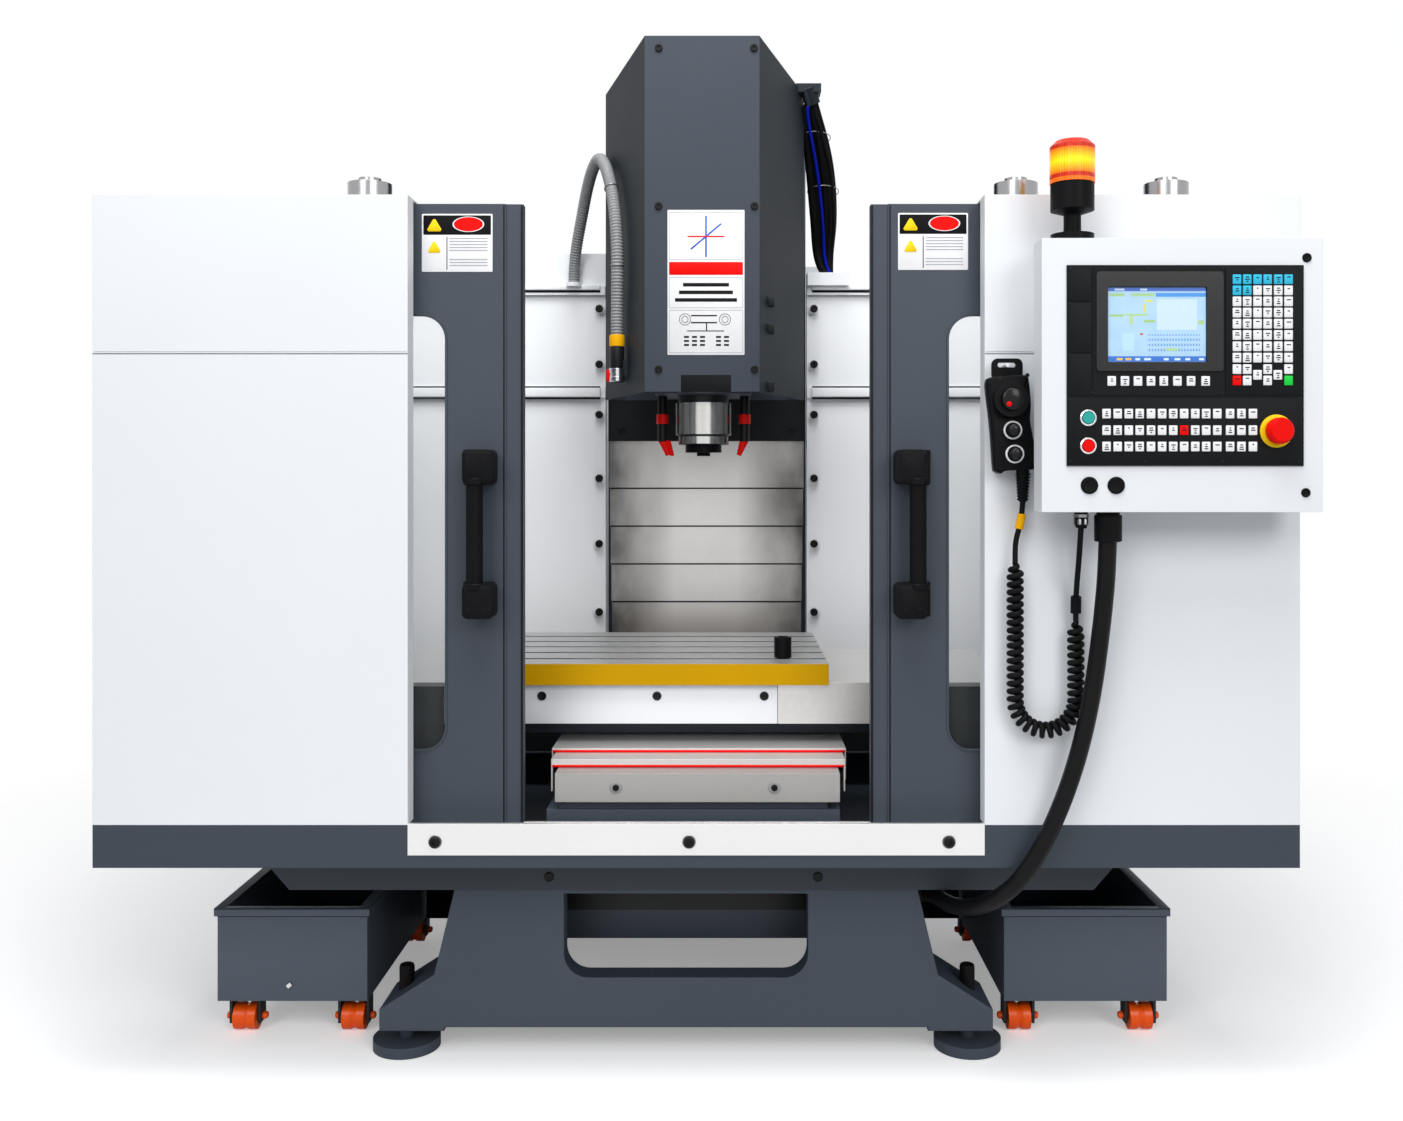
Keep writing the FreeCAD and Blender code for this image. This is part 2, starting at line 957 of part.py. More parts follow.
def make_sill():
    """The stainless sill below the doors, with the track that both doors run on."""
    half = d.opening_half_width - 0.5
    t = d.panel_sheet
    front = d.enclosure_front
    top = d.panel_bottom
    track_half = d.enclosure_half_width - d.panel_sheet - 1
    face = box(-half, half, front - t, front, top - d.sill_height, top + t)
    lip = box(-half, half, front - t, front + 2 * t, top, top + t)
    leg = box(-half, half, front + t, front + 2 * t, top - d.track_drop - t, top + t)
    track = box(
        -track_half, track_half, front + t, front + d.track_depth, top - d.track_drop - t, top - d.track_drop
    )
    rib_middle = d.door_front + d.door_thickness / 2
    rib = box(
        -track_half,
        track_half,
        rib_middle - d.track_rib_width / 2,
        rib_middle + d.track_rib_width / 2,
        top - d.track_drop - 1,
        top - d.track_drop + d.track_rib_height,
    )
    node("front_sill", fuse(face, lip, leg, track, rib))


def make_door(side, word):
    """One sliding door: a framed leaf with a round-cornered window, glass and pull handle."""
    y0 = d.door_front
    y1 = d.door_front + d.door_thickness
    low = d.panel_bottom - d.track_drop + d.track_rib_height + d.fit_gap
    inner = d.door_open_gap

    def slab(x0, x1, ya, yb, z0, z1):
        """A block given from the meeting edge of the door outwards."""
        if side > 0:
            return box(inner + x0, inner + x1, ya, yb, z0, z1)
        return box(-inner - x1, -inner - x0, ya, yb, z0, z1)

    leaf = slab(0, d.door_width, y0, y1, low, d.door_top)
    step = slab(-1, d.door_seal_width, y0 - 1, y0 + d.door_seal_step, low - 1, d.door_top + 1)
    near = d.window_inset
    far = d.window_inset + d.window_width
    if side > 0:
        span = (inner + near, inner + far)
    else:
        span = (-inner - far, -inner - near)
    hole = rounded_hole(span[0], span[1], y0 - 1, y1 + 1, d.window_bottom, d.window_top, d.window_corner)
    lap = d.glass_lap
    rebate = rounded_hole(
        span[0] - lap,
        span[1] + lap,
        y1 - d.glass_thickness - 0.6,
        y1 + 1,
        d.window_bottom - lap,
        d.window_top + lap,
        d.window_corner,
    )
    node(word + "_door", cut(leaf, step, hole, rebate))
    gap = d.fit_gap
    glass = rounded_hole(
        span[0] - lap + gap,
        span[1] + lap - gap,
        y1 - d.glass_thickness - gap,
        y1 - gap,
        d.window_bottom - lap + gap,
        d.window_top + lap - gap,
        d.window_corner - gap,
    )
    node(word + "_door_glass", glass)
    middle = side * (inner + d.handle_centre)
    make_handle(word + "_door_handle", middle)


def make_handle(name, x):
    """A pull handle: two feet on the door and a round grip between them."""
    half = d.handle_foot_width / 2
    y1 = d.door_front
    y0 = y1 - d.handle_foot_depth
    pieces = []
    for z0 in (d.handle_bottom, d.handle_top - d.handle_foot_height):
        z1 = z0 + d.handle_foot_height
        pieces.append(box(x - half, x + half, y0, y1, z0, z1))
        middle = (z0 + z1) / 2
        pieces.append(cylinder("-y", x, y1 - 1, middle, d.handle_tube_radius - 2, d.handle_reach - 1))
    low = d.handle_bottom + d.handle_foot_height / 2
    high = d.handle_top - d.handle_foot_height / 2
    centre = y1 - d.handle_reach
    pieces.append(
        cylinder(
            "z",
            x,
            centre,
            low - d.handle_tube_radius,
            d.handle_tube_radius,
            high - low + 2 * d.handle_tube_radius,
        )
    )
    node(name, fuse(*pieces))


def make_rear_walls():
    """The white splash walls behind the table, left and right of the column."""
    halves = []
    t = d.panel_sheet
    front = d.rear_wall_front
    outer = d.enclosure_half_width - t
    for side in (-1, 1):

        def slab(x0, x1, y0, y1, z0, z1):
            """A sheet given from the column outwards."""
            if side > 0:
                return box(x0, x1, y0, y1, z0, z1)
            return box(-Size.of(x1), -Size.of(x0), y0, y1, z0, z1)

        low = d.skirt_bottom + t
        clear = d.bed_top + d.bed_clearance
        foot_start = d.bed_passage_half_width + d.bed_clearance
        wall = slab(d.rear_wall_inner, outer, front, front + t, clear, d.rear_wall_top)
        foot = slab(foot_start, outer, front, front + t, low, clear + 1)
        fold = slab(
            d.rear_wall_inner, d.rear_wall_inner + t, front, front + d.rear_wall_fold, clear, d.rear_wall_top
        )
        top = slab(
            d.rear_wall_inner, outer, front - d.ledge_depth, front + t, d.rear_wall_top - t, d.rear_wall_top
        )
        lip = slab(
            d.rear_wall_inner,
            outer,
            front - d.ledge_depth,
            front - d.ledge_depth + t,
            d.rear_wall_top - d.ledge_depth * 1.8,
            d.rear_wall_top,
        )
        ledge = slab(
            d.rear_wall_inner,
            outer,
            front - d.ledge_depth / 2,
            front + 1,
            d.ledge_height,
            d.ledge_height + d.ledge_rise,
        )
        pieces = [wall, foot, fold, top, lip, ledge]
        if side > 0:
            x = Size.of(CABLE_BUNDLE[-1][0])
            height = CABLE_BUNDLE[-1][2]
            pieces.append(
                box(
                    x - d.cable_inlet_half_width,
                    x + d.cable_inlet_half_width,
                    front - d.cable_inlet_proud,
                    front + d.rear_wall_fold,
                    d.rear_wall_top - 1,
                    height,
                )
            )
        else:
            x = Size.of(AIR_HOSE[0][0])
            socket_height = AIR_HOSE[0][2] - d.rear_wall_top + t
            pieces.append(
                cylinder("z", x, AIR_HOSE[0][1], d.rear_wall_top - t, d.hose_socket_radius, socket_height)
            )
            pieces.append(
                box(
                    x - d.hose_plate_left,
                    x + d.hose_plate_right,
                    front,
                    front + t,
                    d.rear_wall_top - 1,
                    d.rear_wall_top + d.hose_plate_height,
                )
            )
        halves.append(fuse(*pieces))
    node("rear_walls", group(*halves))


def make_power_cabinet():
    """The electrical cabinet on the back of the column, with its door and two brackets."""
    half = d.power_cabinet_half_width
    t = d.panel_sheet
    y0 = d.power_cabinet_front
    y1 = d.power_cabinet_back - d.power_door_thickness
    z0 = d.power_cabinet_bottom
    z1 = d.power_cabinet_top
    shell = cut(
        box(-half, half, y0, y1, z0, z1),
        box(t - half, half - t, y0 + t, y1 + 1, z0 + t, z1 - t),
    )
    door = box(t - half, half - t, y1 - 1, d.power_cabinet_back, z0 + t, z1 - t)
    pieces = [shell, door]
    bracket = d.column_wall * 2
    for z in (z0 + bracket, z1 - 3 * bracket):
        for side in (-1, 1):
            middle = side * (d.column_half_width - d.column_wall)
            pieces.append(
                box(middle - bracket / 2, middle + bracket / 2, d.column_back, y0 + 1, z, z + bracket)
            )
    node("electrical_cabinet", fuse(*pieces))


# ---------------------------------------------------------------- saddle, table and Y cover
def make_saddle():
    """The cast saddle: a slab with carriages on the Y rails below and the X rails on top."""
    slab = box(
        -d.saddle_half_length, d.saddle_half_length, d.saddle_front, d.saddle_back, d.saddle_bottom, d.saddle_top
    )
    web = box(
        -d.saddle_web_half_width,
        d.saddle_web_half_width,
        d.saddle_web_front,
        d.saddle_back,
        d.saddle_web_bottom,
        d.saddle_bottom + 1,
    )
    pieces = [slab, web]
    rail_top = d.bed_top + d.rail_height
    for side in (-1, 1):
        middle = side * d.y_rail_spread
        carriage = box(
            middle - d.carriage_width / 2,
            middle + d.carriage_width / 2,
            d.saddle_web_front,
            d.saddle_back,
            d.bed_top + 5,
            d.saddle_web_bottom + 1,
        )
        channel = box(
            middle - d.rail_width / 2 - d.fit_gap,
            middle + d.rail_width / 2 + d.fit_gap,
            d.saddle_web_front - 1,
            d.saddle_back + 1,
            d.bed_top,
            rail_top + d.fit_gap,
        )
        pieces.append(cut(carriage, channel))
        rail_middle = (d.saddle_front + d.saddle_back) / 2 + side * d.x_rail_spread
        pieces.append(
            box(
                -d.saddle_half_length,
                d.saddle_half_length,
                rail_middle - d.rail_width / 2,
                rail_middle + d.rail_width / 2,
                d.saddle_top,
                d.saddle_top + d.rail_height,
            )
        )
    node("saddle", fuse(*pieces))


def hood_section(name, half_width, top, low, front, back, lip_bottom):
    """One section of the Y way cover: a folded top with two sides and a front lip."""
    t = d.cover_sheet
    outer = box(-half_width, half_width, front, back, low, top)
    room = box(t - half_width, half_width - t, front + t, back + 1, low - 1, top - t)
    doorway = box(t - half_width, half_width - t, front - 1, front + t + 1, low - 1, lip_bottom)
    node(name, cut(outer, room, doorway))


def make_y_cover():
    """The telescopic cover over the Y ways: three nested sections, the last fixed at the front."""
    first_top = d.cover_top
    second_top = first_top - d.cover_step
    third_top = second_top - d.cover_end_step
    first_front = d.saddle_web_front - d.cover_length
    hood_section(
        "y_cover_rear",
        d.cover_half_width,
        first_top,
        d.cover_skirt_bottom + 2 * d.cover_step,
        first_front,
        d.saddle_web_front,
        second_top + d.fit_gap,
    )
    hood_section(
        "y_cover_middle",
        d.cover_half_width - d.cover_mid_inset,
        second_top,
        d.cover_skirt_bottom + d.cover_step,
        d.cover_mid_front,
        d.cover_mid_front + d.cover_length,
        third_top + d.fit_gap,
    )
    half = d.cover_half_width - d.cover_end_inset
    t = d.cover_sheet
    front = d.cover_end_front
    back = front + d.cover_length
    outer = box(-half, half, front, back, d.bed_top, third_top)
    room = box(t - half, half - t, front + 2 * t, back + 1, d.bed_top - 1, third_top - t)
    face_foot = box(-half - 1, half + 1, front - 1, back + 1, d.bed_top - 1, d.cover_skirt_bottom)
    foot = box(-half + 20, half - 20, d.nose_front + d.bed_step, d.nose_front + 2 * d.bed_step, d.bed_top, third_top - 1)
    nose_foot = box(
        -half + 20, half - 20, front + 1, d.nose_front + 2 * d.bed_step, d.cover_skirt_bottom, d.cover_skirt_bottom + t
    )
    node("y_cover_front", fuse(cut(outer, room, face_foot), foot, nose_foot))


def table_middle():
    """Where the middle of the table lies along X in the photographed pose."""
    return d.table_offset


def make_table():
    """The cast table: a pad with T-slots along its length, on four carriages."""
    body = document.addObject("PartDesign::Body", "Table")
    half_depth = d.table_depth / 2
    low = -d.table_thickness
    sketch = outline(
        body,
        "side",
        [(-half_depth, low), (half_depth, low), (half_depth, 0), (-half_depth, 0)],
    )
    pad = body.newObject("PartDesign::Pad", "Plate")
    pad.Profile = sketch
    pad.UseCustomVector = True
    pad.Direction = Vector(1, 0, 0)
    bind(pad, "Length", d.table_length)
    document.recompute()
    first = -d.slot_pitch * (d.slot_count - 1) / 2
    neck = d.slot_width / 2
    foot = d.slot_foot_width / 2
    shoulder = -d.slot_depth + d.slot_foot_height
    slot = outline(
        body,
        "side",
        [
            (first - neck, 0.5),
            (first - neck, shoulder),
            (first - foot, shoulder),
            (first - foot, -d.slot_depth),
            (first + foot, -d.slot_depth),
            (first + foot, shoulder),
            (first + neck, shoulder),
            (first + neck, 0.5),
        ],
    )
    groove = body.newObject("PartDesign::Pocket", "Slot")
    groove.Profile = slot
    groove.Type = 1
    groove.UseCustomVector = True
    groove.Direction = Vector(1, 0, 0)
    document.recompute()
    if body.Shape.Volume > pad.Shape.Volume - 1:
        groove.Direction = Vector(-1, 0, 0)
        document.recompute()
    slots = body.newObject("PartDesign::LinearPattern", "Slots")
    slots.Originals = [groove]
    slots.Direction = (slot, ["H_Axis"])
    bind(slots, "Length", d.slot_pitch * (d.slot_count - 1))
    bind(slots, "Occurrences", d.slot_count)
    body.Tip = slots
    document.recompute()
    left = table_middle() - d.table_length / 2
    middle_y = d.table_front + half_depth
    place(body, left, middle_y, d.table_top)
    under = d.table_top - d.table_thickness
    x0 = table_middle() - d.table_block_half_length
    x1 = table_middle() + d.table_block_half_length
    y0 = d.table_front + d.cover_sheet + d.table_block_inset
    y1 = d.table_front + d.table_depth - d.table_block_inset
    block = box(x0, x1, y0, y1, under - d.table_block_drop, under + 1)
    pieces = [body, block]
    rail_top = d.saddle_top + d.rail_height
    for side in (-1, 1):
        rail_middle = (d.saddle_front + d.saddle_back) / 2 + side * d.x_rail_spread
        for end in (-1, 1):
            middle = table_middle() + end * (d.table_block_half_length - d.carriage_width)
            carriage = box(
                middle - d.carriage_width / 2,
                middle + d.carriage_width / 2,
                rail_middle - d.carriage_width / 2,
                rail_middle + d.carriage_width / 2,
                d.saddle_top + 5,
                under - d.table_block_drop + 1,
            )
            channel = box(
                middle - d.carriage_width,
                middle + d.carriage_width,
                rail_middle - d.rail_width / 2 - d.fit_gap,
                rail_middle + d.rail_width / 2 + d.fit_gap,
                d.saddle_top,
                rail_top + d.fit_gap,
            )
            pieces.append(cut(carriage, channel))
    node("table", fuse(*pieces))


def make_table_trim():
    """The white plate below the table's front edge and the two covers at its ends."""
    t = d.cover_sheet
    middle = table_middle()
    half = d.table_block_half_length
    plate_y = d.table_front + d.table_block_inset
    low = d.apron_plate_bottom
    top = d.x_cover_top
    under = d.table_top - d.table_thickness
    plate = box(middle - half, middle + half, plate_y, plate_y + t, low, under)
    holes = []
    for place_x in (-1, 0, 1):
        x = middle + place_x * d.apron_plate_hole_spread
        holes.append(cylinder("y", x, plate_y - 1, d.apron_hole_height, d.apron_plate_hole, t + 2))
    node("table_skirt", cut(plate, *holes))
    covers = []
    for side in (-1, 1):

        def slab(x0, x1, y0, y1, z0, z1):
            """A block given from the middle of the table outwards."""
            if side > 0:
                return box(middle + x0, middle + x1, y0, y1, z0, z1)
            return box(middle - x1, middle - x0, y0, y1, z0, z1)

        end = d.table_length / 2
        far = end + d.x_cover_length
        back = d.table_front + d.table_depth
        roof = slab(end, far, plate_y, back, top - t, top)
        face = slab(end, far, plate_y, plate_y + t, low, top)
        wing = slab(half + 1, end + 1, plate_y, plate_y + t, low, under)
        rear = slab(end, far, back - t, back, low, top)
        covers.append(fuse(roof, face, wing, rear))
    node("x_covers", group(*covers))
    setter = cut(
        cylinder("z", d.setter_x, d.setter_y, d.table_top, d.setter_radius, d.setter_height),
        cylinder("z", d.setter_x, d.setter_y, d.table_top + 6, d.setter_bore, d.setter_height),
    )
    node("tool_setter", setter)


# ---------------------------------------------------------------- head and spindle
def make_head():
    """The head casting: a beam that reaches forward from the Z carriages to the spindle."""
    beam = box(-d.head_half_width, d.head_half_width, d.head_front, d.head_back, d.head_bottom, d.head_top)
    nose = box(
        -d.head_half_width + 5,
        d.head_half_width - 5,
        d.spindle_y - d.head_half_width + 15,
        d.spindle_y + d.head_half_width - 15,
        d.hood_bottom,
        d.head_bottom + 1,
    )
    plate = box(
        -d.head_plate_half_width,
        d.head_plate_half_width,
        d.head_back - d.head_plate_thickness,
        d.head_back,
        d.head_bottom,
        d.head_plate_top,
    )
    pieces = [beam, nose, plate]
    rail_face = d.column_front - d.z_rail_height
    for side in (-1, 1):
        middle = side * d.z_rail_spread
        for z in (d.head_bottom + d.carriage_width / 2, d.head_plate_top - 2 * d.carriage_width):
            carriage = box(
                middle - d.carriage_width / 2,
                middle + d.carriage_width / 2,
                d.head_back - 1,
                d.column_front - 5,
                z,
                z + 1.5 * d.carriage_width,
            )
            channel = box(
                middle - d.rail_width / 2 - d.fit_gap,
                middle + d.rail_width / 2 + d.fit_gap,
                rail_face - d.fit_gap,
                d.column_front,
                z - 1,
                z + 1.5 * d.carriage_width + 1,
            )
            pieces.append(cut(carriage, channel))
    bore = cylinder(
        "z", 0, d.spindle_y, d.hood_bottom - 1, d.spindle_shaft_radius + 1, d.head_bottom - d.hood_bottom + 30
    )
    node("head_casting", cut(fuse(*pieces), bore))


def hood_space(grow, low, high, fall):
    """The space inside the hood's plan outline and below its sloping roof."""
    front = d.hood_front - grow
    wide = d.hood_back_half_width + grow * 1.1
    narrow = d.hood_front_half_width + grow * 0.7
    plan = prism(
        "top",
        [(-wide, d.hood_back), (-narrow, front), (narrow, front), (wide, d.hood_back)],
        low,
        high - low,
    )
    side = prism(
        "side",
        [
            (front - 1, low - 1),
            (d.hood_back, low - 1),
            (d.hood_back, high - fall),
            (front - 1, high),
        ],
        -d.hood_back_half_width - 20,
        2 * d.hood_back_half_width + 40,
    )
    return common(plan, side)


def wing_middle(y):
    """Half the width of the hood, to the middle of its sheet, at a depth."""
    spread = (d.hood_back_half_width - d.hood_front_half_width) / (d.hood_back - d.hood_front)
    return d.hood_front_half_width + (y - d.hood_front) * spread - d.hood_sheet * 0.5


def make_hood():
    """The folded sheet hood of the head, with flared wings and a roof that falls to the rear."""
    t = d.hood_sheet
    outer = hood_space(Size.of(0), d.hood_bottom, d.hood_top, d.hood_fall)
    room = hood_space(-t, d.hood_bottom - 1, d.hood_top - t, d.hood_fall)
    pieces = [cut(outer, room)]
    for side in (-1, 1):
        for z in (d.head_bottom + d.hood_tab_inset, d.head_top - d.hood_tab_inset):
            back = d.hood_back - d.hood_tab_setback
            front = back - d.hood_tab_depth
            tab = [
                (side * d.head_half_width, front),
                (side * wing_middle(front), front),
                (side * wing_middle(back), back),
                (side * d.head_half_width, back),
            ]
            pieces.append(prism("top", tab, z, d.hood_tab_thickness))
    plate = box(
        -d.hood_foot_half_width, d.hood_foot_half_width, d.hood_front, d.head_front, d.hood_bottom, d.hood_bottom + t
    )
    pieces.append(plate)
    pieces += hood_valve() + hood_outlet()
    node("head_hood", fuse(*pieces))


def hood_valve():
    """The valve at the lower end of the ribbed hose, on a block beside the left wing."""
    x, y, top = [Size.of(value) for value in AIR_HOSE[-1]]
    valve = cylinder("z", x, y, d.valve_bottom, d.valve_radius, top - d.valve_bottom)
    reach = d.hood_front_half_width + d.valve_block_reach
    low = d.valve_bottom + d.valve_radius
    block = box(x, -reach, y - d.valve_radius / 2, y + d.valve_radius / 2, low, low + d.valve_block_height)
    return [valve, block]


def hood_outlet():
    """The terminal box on the right wing, with the slanted gland that the cables leave from."""
    start = Vector(*CABLE_BUNDLE[0])
    back = (start - Vector(*CABLE_BUNDLE[1])).normalize()
    gland = document.addObject("Part::Cylinder", "Gland")
    bind(gland, "Radius", d.outlet_radius)
    bind(gland, "Height", d.outlet_length)
    place(gland, start.x, start.y, start.z, Rotation(Vector(0, 0, 1), back))
    inside = d.hood_back_half_width - d.outlet_bite
    low = start.z + d.outlet_length * 0.5
    shelf = box(
        inside,
        start.x + d.outlet_radius,
        start.y - d.outlet_radius - d.outlet_margin,
        start.y + d.outlet_radius * 0.9,
        low,
        low + d.outlet_height,
    )
    return [gland, shelf]


def make_spindle():
    """The spindle sleeve, the turning shaft with its steep taper, and the plug that guards it."""
    y = d.spindle_y
    gap = d.running_gap
    collar = cylinder(
        "z", 0, y, d.spindle_sleeve_top, d.spindle_collar_radius, d.hood_bottom - d.spindle_sleeve_top
    )
    sleeve = cylinder(
        "z", 0, y, d.spindle_sleeve_bottom, d.spindle_sleeve_radius, d.spindle_sleeve_top - d.spindle_sleeve_bottom
    )
    bore = cylinder(
        "z",
        0,
        y,
        d.spindle_sleeve_bottom - 1,
        d.spindle_shaft_radius + gap,
        d.hood_bottom - d.spindle_sleeve_bottom + 2,
    )
    node("spindle_housing", cut(fuse(collar, sleeve), bore))
    shaft = cylinder(
        "z",
        0,
        y,
        d.spindle_nose_bottom,
        d.spindle_shaft_radius,
        d.hood_bottom - d.spindle_nose_bottom,
    )
    flange = cylinder(
        "z",
        0,
        y,
        d.spindle_nose_bottom,
        d.spindle_collar_radius,
        d.spindle_sleeve_bottom - d.spindle_nose_bottom - d.fit_gap,
    )
    slope = 7 / 48
    end_radius = d.taper_mouth_radius - d.taper_depth * slope
    taper = cone("z", 0, y, d.spindle_nose_bottom, d.taper_mouth_radius, end_radius, d.taper_depth)
    node("spindle_shaft", cut(fuse(shaft, flange), taper))
    depth = d.taper_depth * 0.7
    stem = cone(
        "z",
        0,
        y,
        d.spindle_nose_bottom,
        d.taper_mouth_radius - d.fit_gap,
        d.taper_mouth_radius - d.fit_gap - depth * slope,
        depth,
    )
    rim = cylinder(
        "-z", 0, y, d.spindle_nose_bottom, d.plug_flange_radius, d.plug_flange_height
    )
    grip = cylinder(
        "-z",
        0,
        y,
        d.spindle_nose_bottom - d.plug_flange_height + 1,
        d.plug_grip_radius,
        d.plug_grip_height + 1,
    )
    node("taper_plug", fuse(stem, rim, grip))


def make_nozzles():
    """Two jointed coolant nozzles beside the spindle, their tips turned towards the tool."""
    y = d.spindle_y
    pair = []
    for side in (-1, 1):
        x = side * d.nozzle_spread
        stem = cylinder(
            "z", x, y, d.nozzle_stem_bottom, d.nozzle_radius, d.hood_bottom - d.nozzle_stem_bottom
        )
        collar = cylinder(
            "z",
            x,
            y,
            d.nozzle_collar_bottom,
            d.nozzle_collar_radius,
            d.nozzle_collar_top - d.nozzle_collar_bottom,
        )
        tip = document.addObject("Part::Cone", "Tip")
        bind(tip, "Radius1", d.nozzle_radius)
        bind(tip, "Radius2", d.nozzle_tip_radius)
        bind(tip, "Height", d.nozzle_tip_length)
        turn = Rotation(Vector(0, 1, 0), 180 + side * 20)
        place(tip, x, y, d.nozzle_stem_bottom + 4, turn)
        pair.append(fuse(stem, collar, tip))
    node("coolant_nozzles", group(*pair))


def make_z_cover():
    """The telescopic cover below the head: an apron and five nested plates with side folds."""
    half = d.z_apron_half_width
    front = d.z_apron_front
    apron = box(
        -half, half, front, front + d.z_apron_sheet, d.z_apron_bottom, d.head_bottom
    )
    node("z_apron", apron)
    t = d.z_cover_sheet
    step = t + d.fit_gap
    names = ["z_cover_top", "z_cover_upper", "z_cover_middle", "z_cover_lower", "z_cover_bottom"]
    for index, name in enumerate(names):
        y0 = front + d.z_apron_sheet + index * step
        outside = d.z_cover_half_width - index * step
        z0 = d.z_cover_first_bottom - index * d.z_cover_pitch
        z1 = z0 + d.z_cover_height
        plate = box(-outside, outside, y0, y0 + d.z_cover_fold, z0, z1)
        room = box(t - outside, outside - t, y0 + t, y0 + d.z_cover_fold + 1, z0 - 1, z1 + 1)
        shell = cut(plate, room)
        if index == len(names) - 1:
            bracket = box(-d.channel_half_width, d.channel_half_width, y0, d.column_front, z0 + 20, z0 + 60)
            shell = fuse(shell, bracket)
        node(name, shell)


# ---------------------------------------------------------------- controls
def make_control_box():
    """The control box: a folded housing on a hollow arm in front of the right cabinet."""
    t = d.control_sheet
    x0 = d.control_left
    x1 = d.control_right
    y0 = d.control_front
    y1 = d.control_front + d.control_depth
    z0 = d.control_bottom
    z1 = d.control_top
    inset = d.control_inset
    housing = box(x0, x1, y0, y1, z0, z1)
    room = box(x0 + t, x1 - t, y0 + t, y1 - t, z0 + t, z1 - t)
    arm = box(x0 + inset, x1 - inset, y1 - 1, d.enclosure_front, z0 + inset, z1 - inset)
    arm_room = box(
        x0 + inset + t, x1 - inset - t, y1 - t - 1, d.enclosure_front + 1, z0 + inset + t, z1 - inset - t
    )
    holes = [room, arm_room]
    for x, z, radius in control_holes():
        holes.append(cylinder("y", x, y0 - 1, z, radius, t + 2))
    node("control_box", cut(fuse(housing, arm), *holes))


def control_holes():
    """The holes in the front for the two push buttons and the emergency stop."""
    clear = d.fit_gap
    return [
        (d.button_x, d.start_z, d.button_radius + clear),
        (d.button_x, d.stop_z, d.button_radius + clear),
        (d.emergency_x, d.emergency_z, d.emergency_neck + clear),
    ]


def make_panel():
    """The black operating panel with its screen and the rings round its buttons."""
    front = d.control_front - d.panel_plate
    plate = box(d.panel_left, d.panel_right, front, d.control_front, d.panel_low, d.panel_high)
    rings = []
    for z in (d.start_z, d.stop_z):
        rings.append(
            cylinder(
                "y", d.button_x, front - d.bezel_proud, z, d.button_bezel, d.bezel_proud + d.panel_plate
            )
        )
    rings.append(
        cylinder(
            "y",
            d.emergency_x,
            front - d.bezel_proud,
            d.emergency_z,
            d.emergency_ring,
            d.bezel_proud + d.panel_plate,
        )
    )
    tools = []
    for x, z, radius in control_holes():
        tools.append(cylinder("y", x, front - d.bezel_proud - 1, z, radius, d.bezel_proud + d.panel_plate + 2))
    recess = box(
        d.screen_left, d.screen_right, front - 1, front + d.screen_plate + 0.5, d.screen_low, d.screen_high
    )
    node("control_panel", cut(fuse(plate, *rings), recess, *tools))
    gap = d.fit_gap
    screen = box(
        d.screen_left + gap,
        d.screen_right - gap,
        front + 0.5,
        front + 0.5 + d.screen_plate,
        d.screen_low + gap,
        d.screen_high - gap,
    )
    node("display_screen", screen)
    for name, z in (("start_button", d.start_z), ("stop_button", d.stop_z)):
        cap_front = front - d.bezel_proud - d.button_proud
        stem_length = d.bezel_proud + d.button_proud + d.panel_plate
        node(name, cylinder("y", d.button_x, cap_front, z, d.button_radius, stem_length))
    cap_back = front - d.bezel_proud - d.emergency_gap
    cap_front = cap_back - d.emergency_cap_depth
    radius = d.emergency_cap
    cap = cylinder("-y", d.emergency_x, cap_back, d.emergency_z, radius, d.emergency_cap_depth * 0.6)
    crown = cone(
        "-y",
        d.emergency_x,
        cap_back - d.emergency_cap_depth * 0.6,
        d.emergency_z,
        radius,
        radius * 0.8,
        d.emergency_cap_depth * 0.4,
    )
    neck_length = d.emergency_gap + d.bezel_proud + d.panel_plate
    neck = cylinder("y", d.emergency_x, cap_back - 1, d.emergency_z, d.emergency_neck, neck_length + 1)
    node("emergency_stop", fuse(cap, crown, neck))


def make_beacon():
    """The signal lamp on the control box: a turned black base and a hollow amber lens."""
    foot = d.control_top
    stem = d.beacon_foot_height
    base_low = d.beacon_stem_top - foot
    base_high = d.beacon_base_top - foot
    flare = d.beacon_stem_radius * 0.5
    base = revolve(
        [
            (0, 0),
            (d.beacon_foot_radius, 0),
            (d.beacon_foot_radius, stem),
            (d.beacon_stem_radius, stem + 2),
            (d.beacon_stem_radius, base_low - flare),
            (d.beacon_base_radius, base_low),
            (d.beacon_base_radius, base_high),
            (0, base_high),
        ],
        d.beacon_x,
        d.beacon_y,
        foot,
    )
    node("beacon_base", base)
    top = d.beacon_lens_top - d.beacon_base_top
    outer = d.beacon_lens_radius
    wall = d.beacon_lens_wall
    dome = outer * 0.25
    lens = revolve(
        [
            (outer - wall, 0),
            (outer, 0),
            (outer, top - dome),
            (outer - dome, top),
            (0, top),
            (0, top - wall),
            (outer - dome - wall * 0.4, top - wall),
            (outer - wall, top - dome - wall * 0.4),
        ],
        d.beacon_x,
        d.beacon_y,
        d.beacon_base_top,
    )
    node("beacon_lens", lens)


def tilted(thing):
    """Place a pendant piece, modelled round the pendant's middle, with the pendant's lean."""
    lean = Rotation(Vector(0, -1, 0), d.pendant_tilt.number)
    return place(thing, d.pendant_x, 0, d.pendant_z, lean)


def pendant_point(across, up):
    """A point of the leaning pendant, given from its middle, in the frame."""
    lean = math.radians(d.pendant_tilt.number)
    x = d.pendant_x + across * math.cos(lean) - up * math.sin(lean)
    z = d.pendant_z + across * math.sin(lean) + up * math.cos(lean)
    return x, z


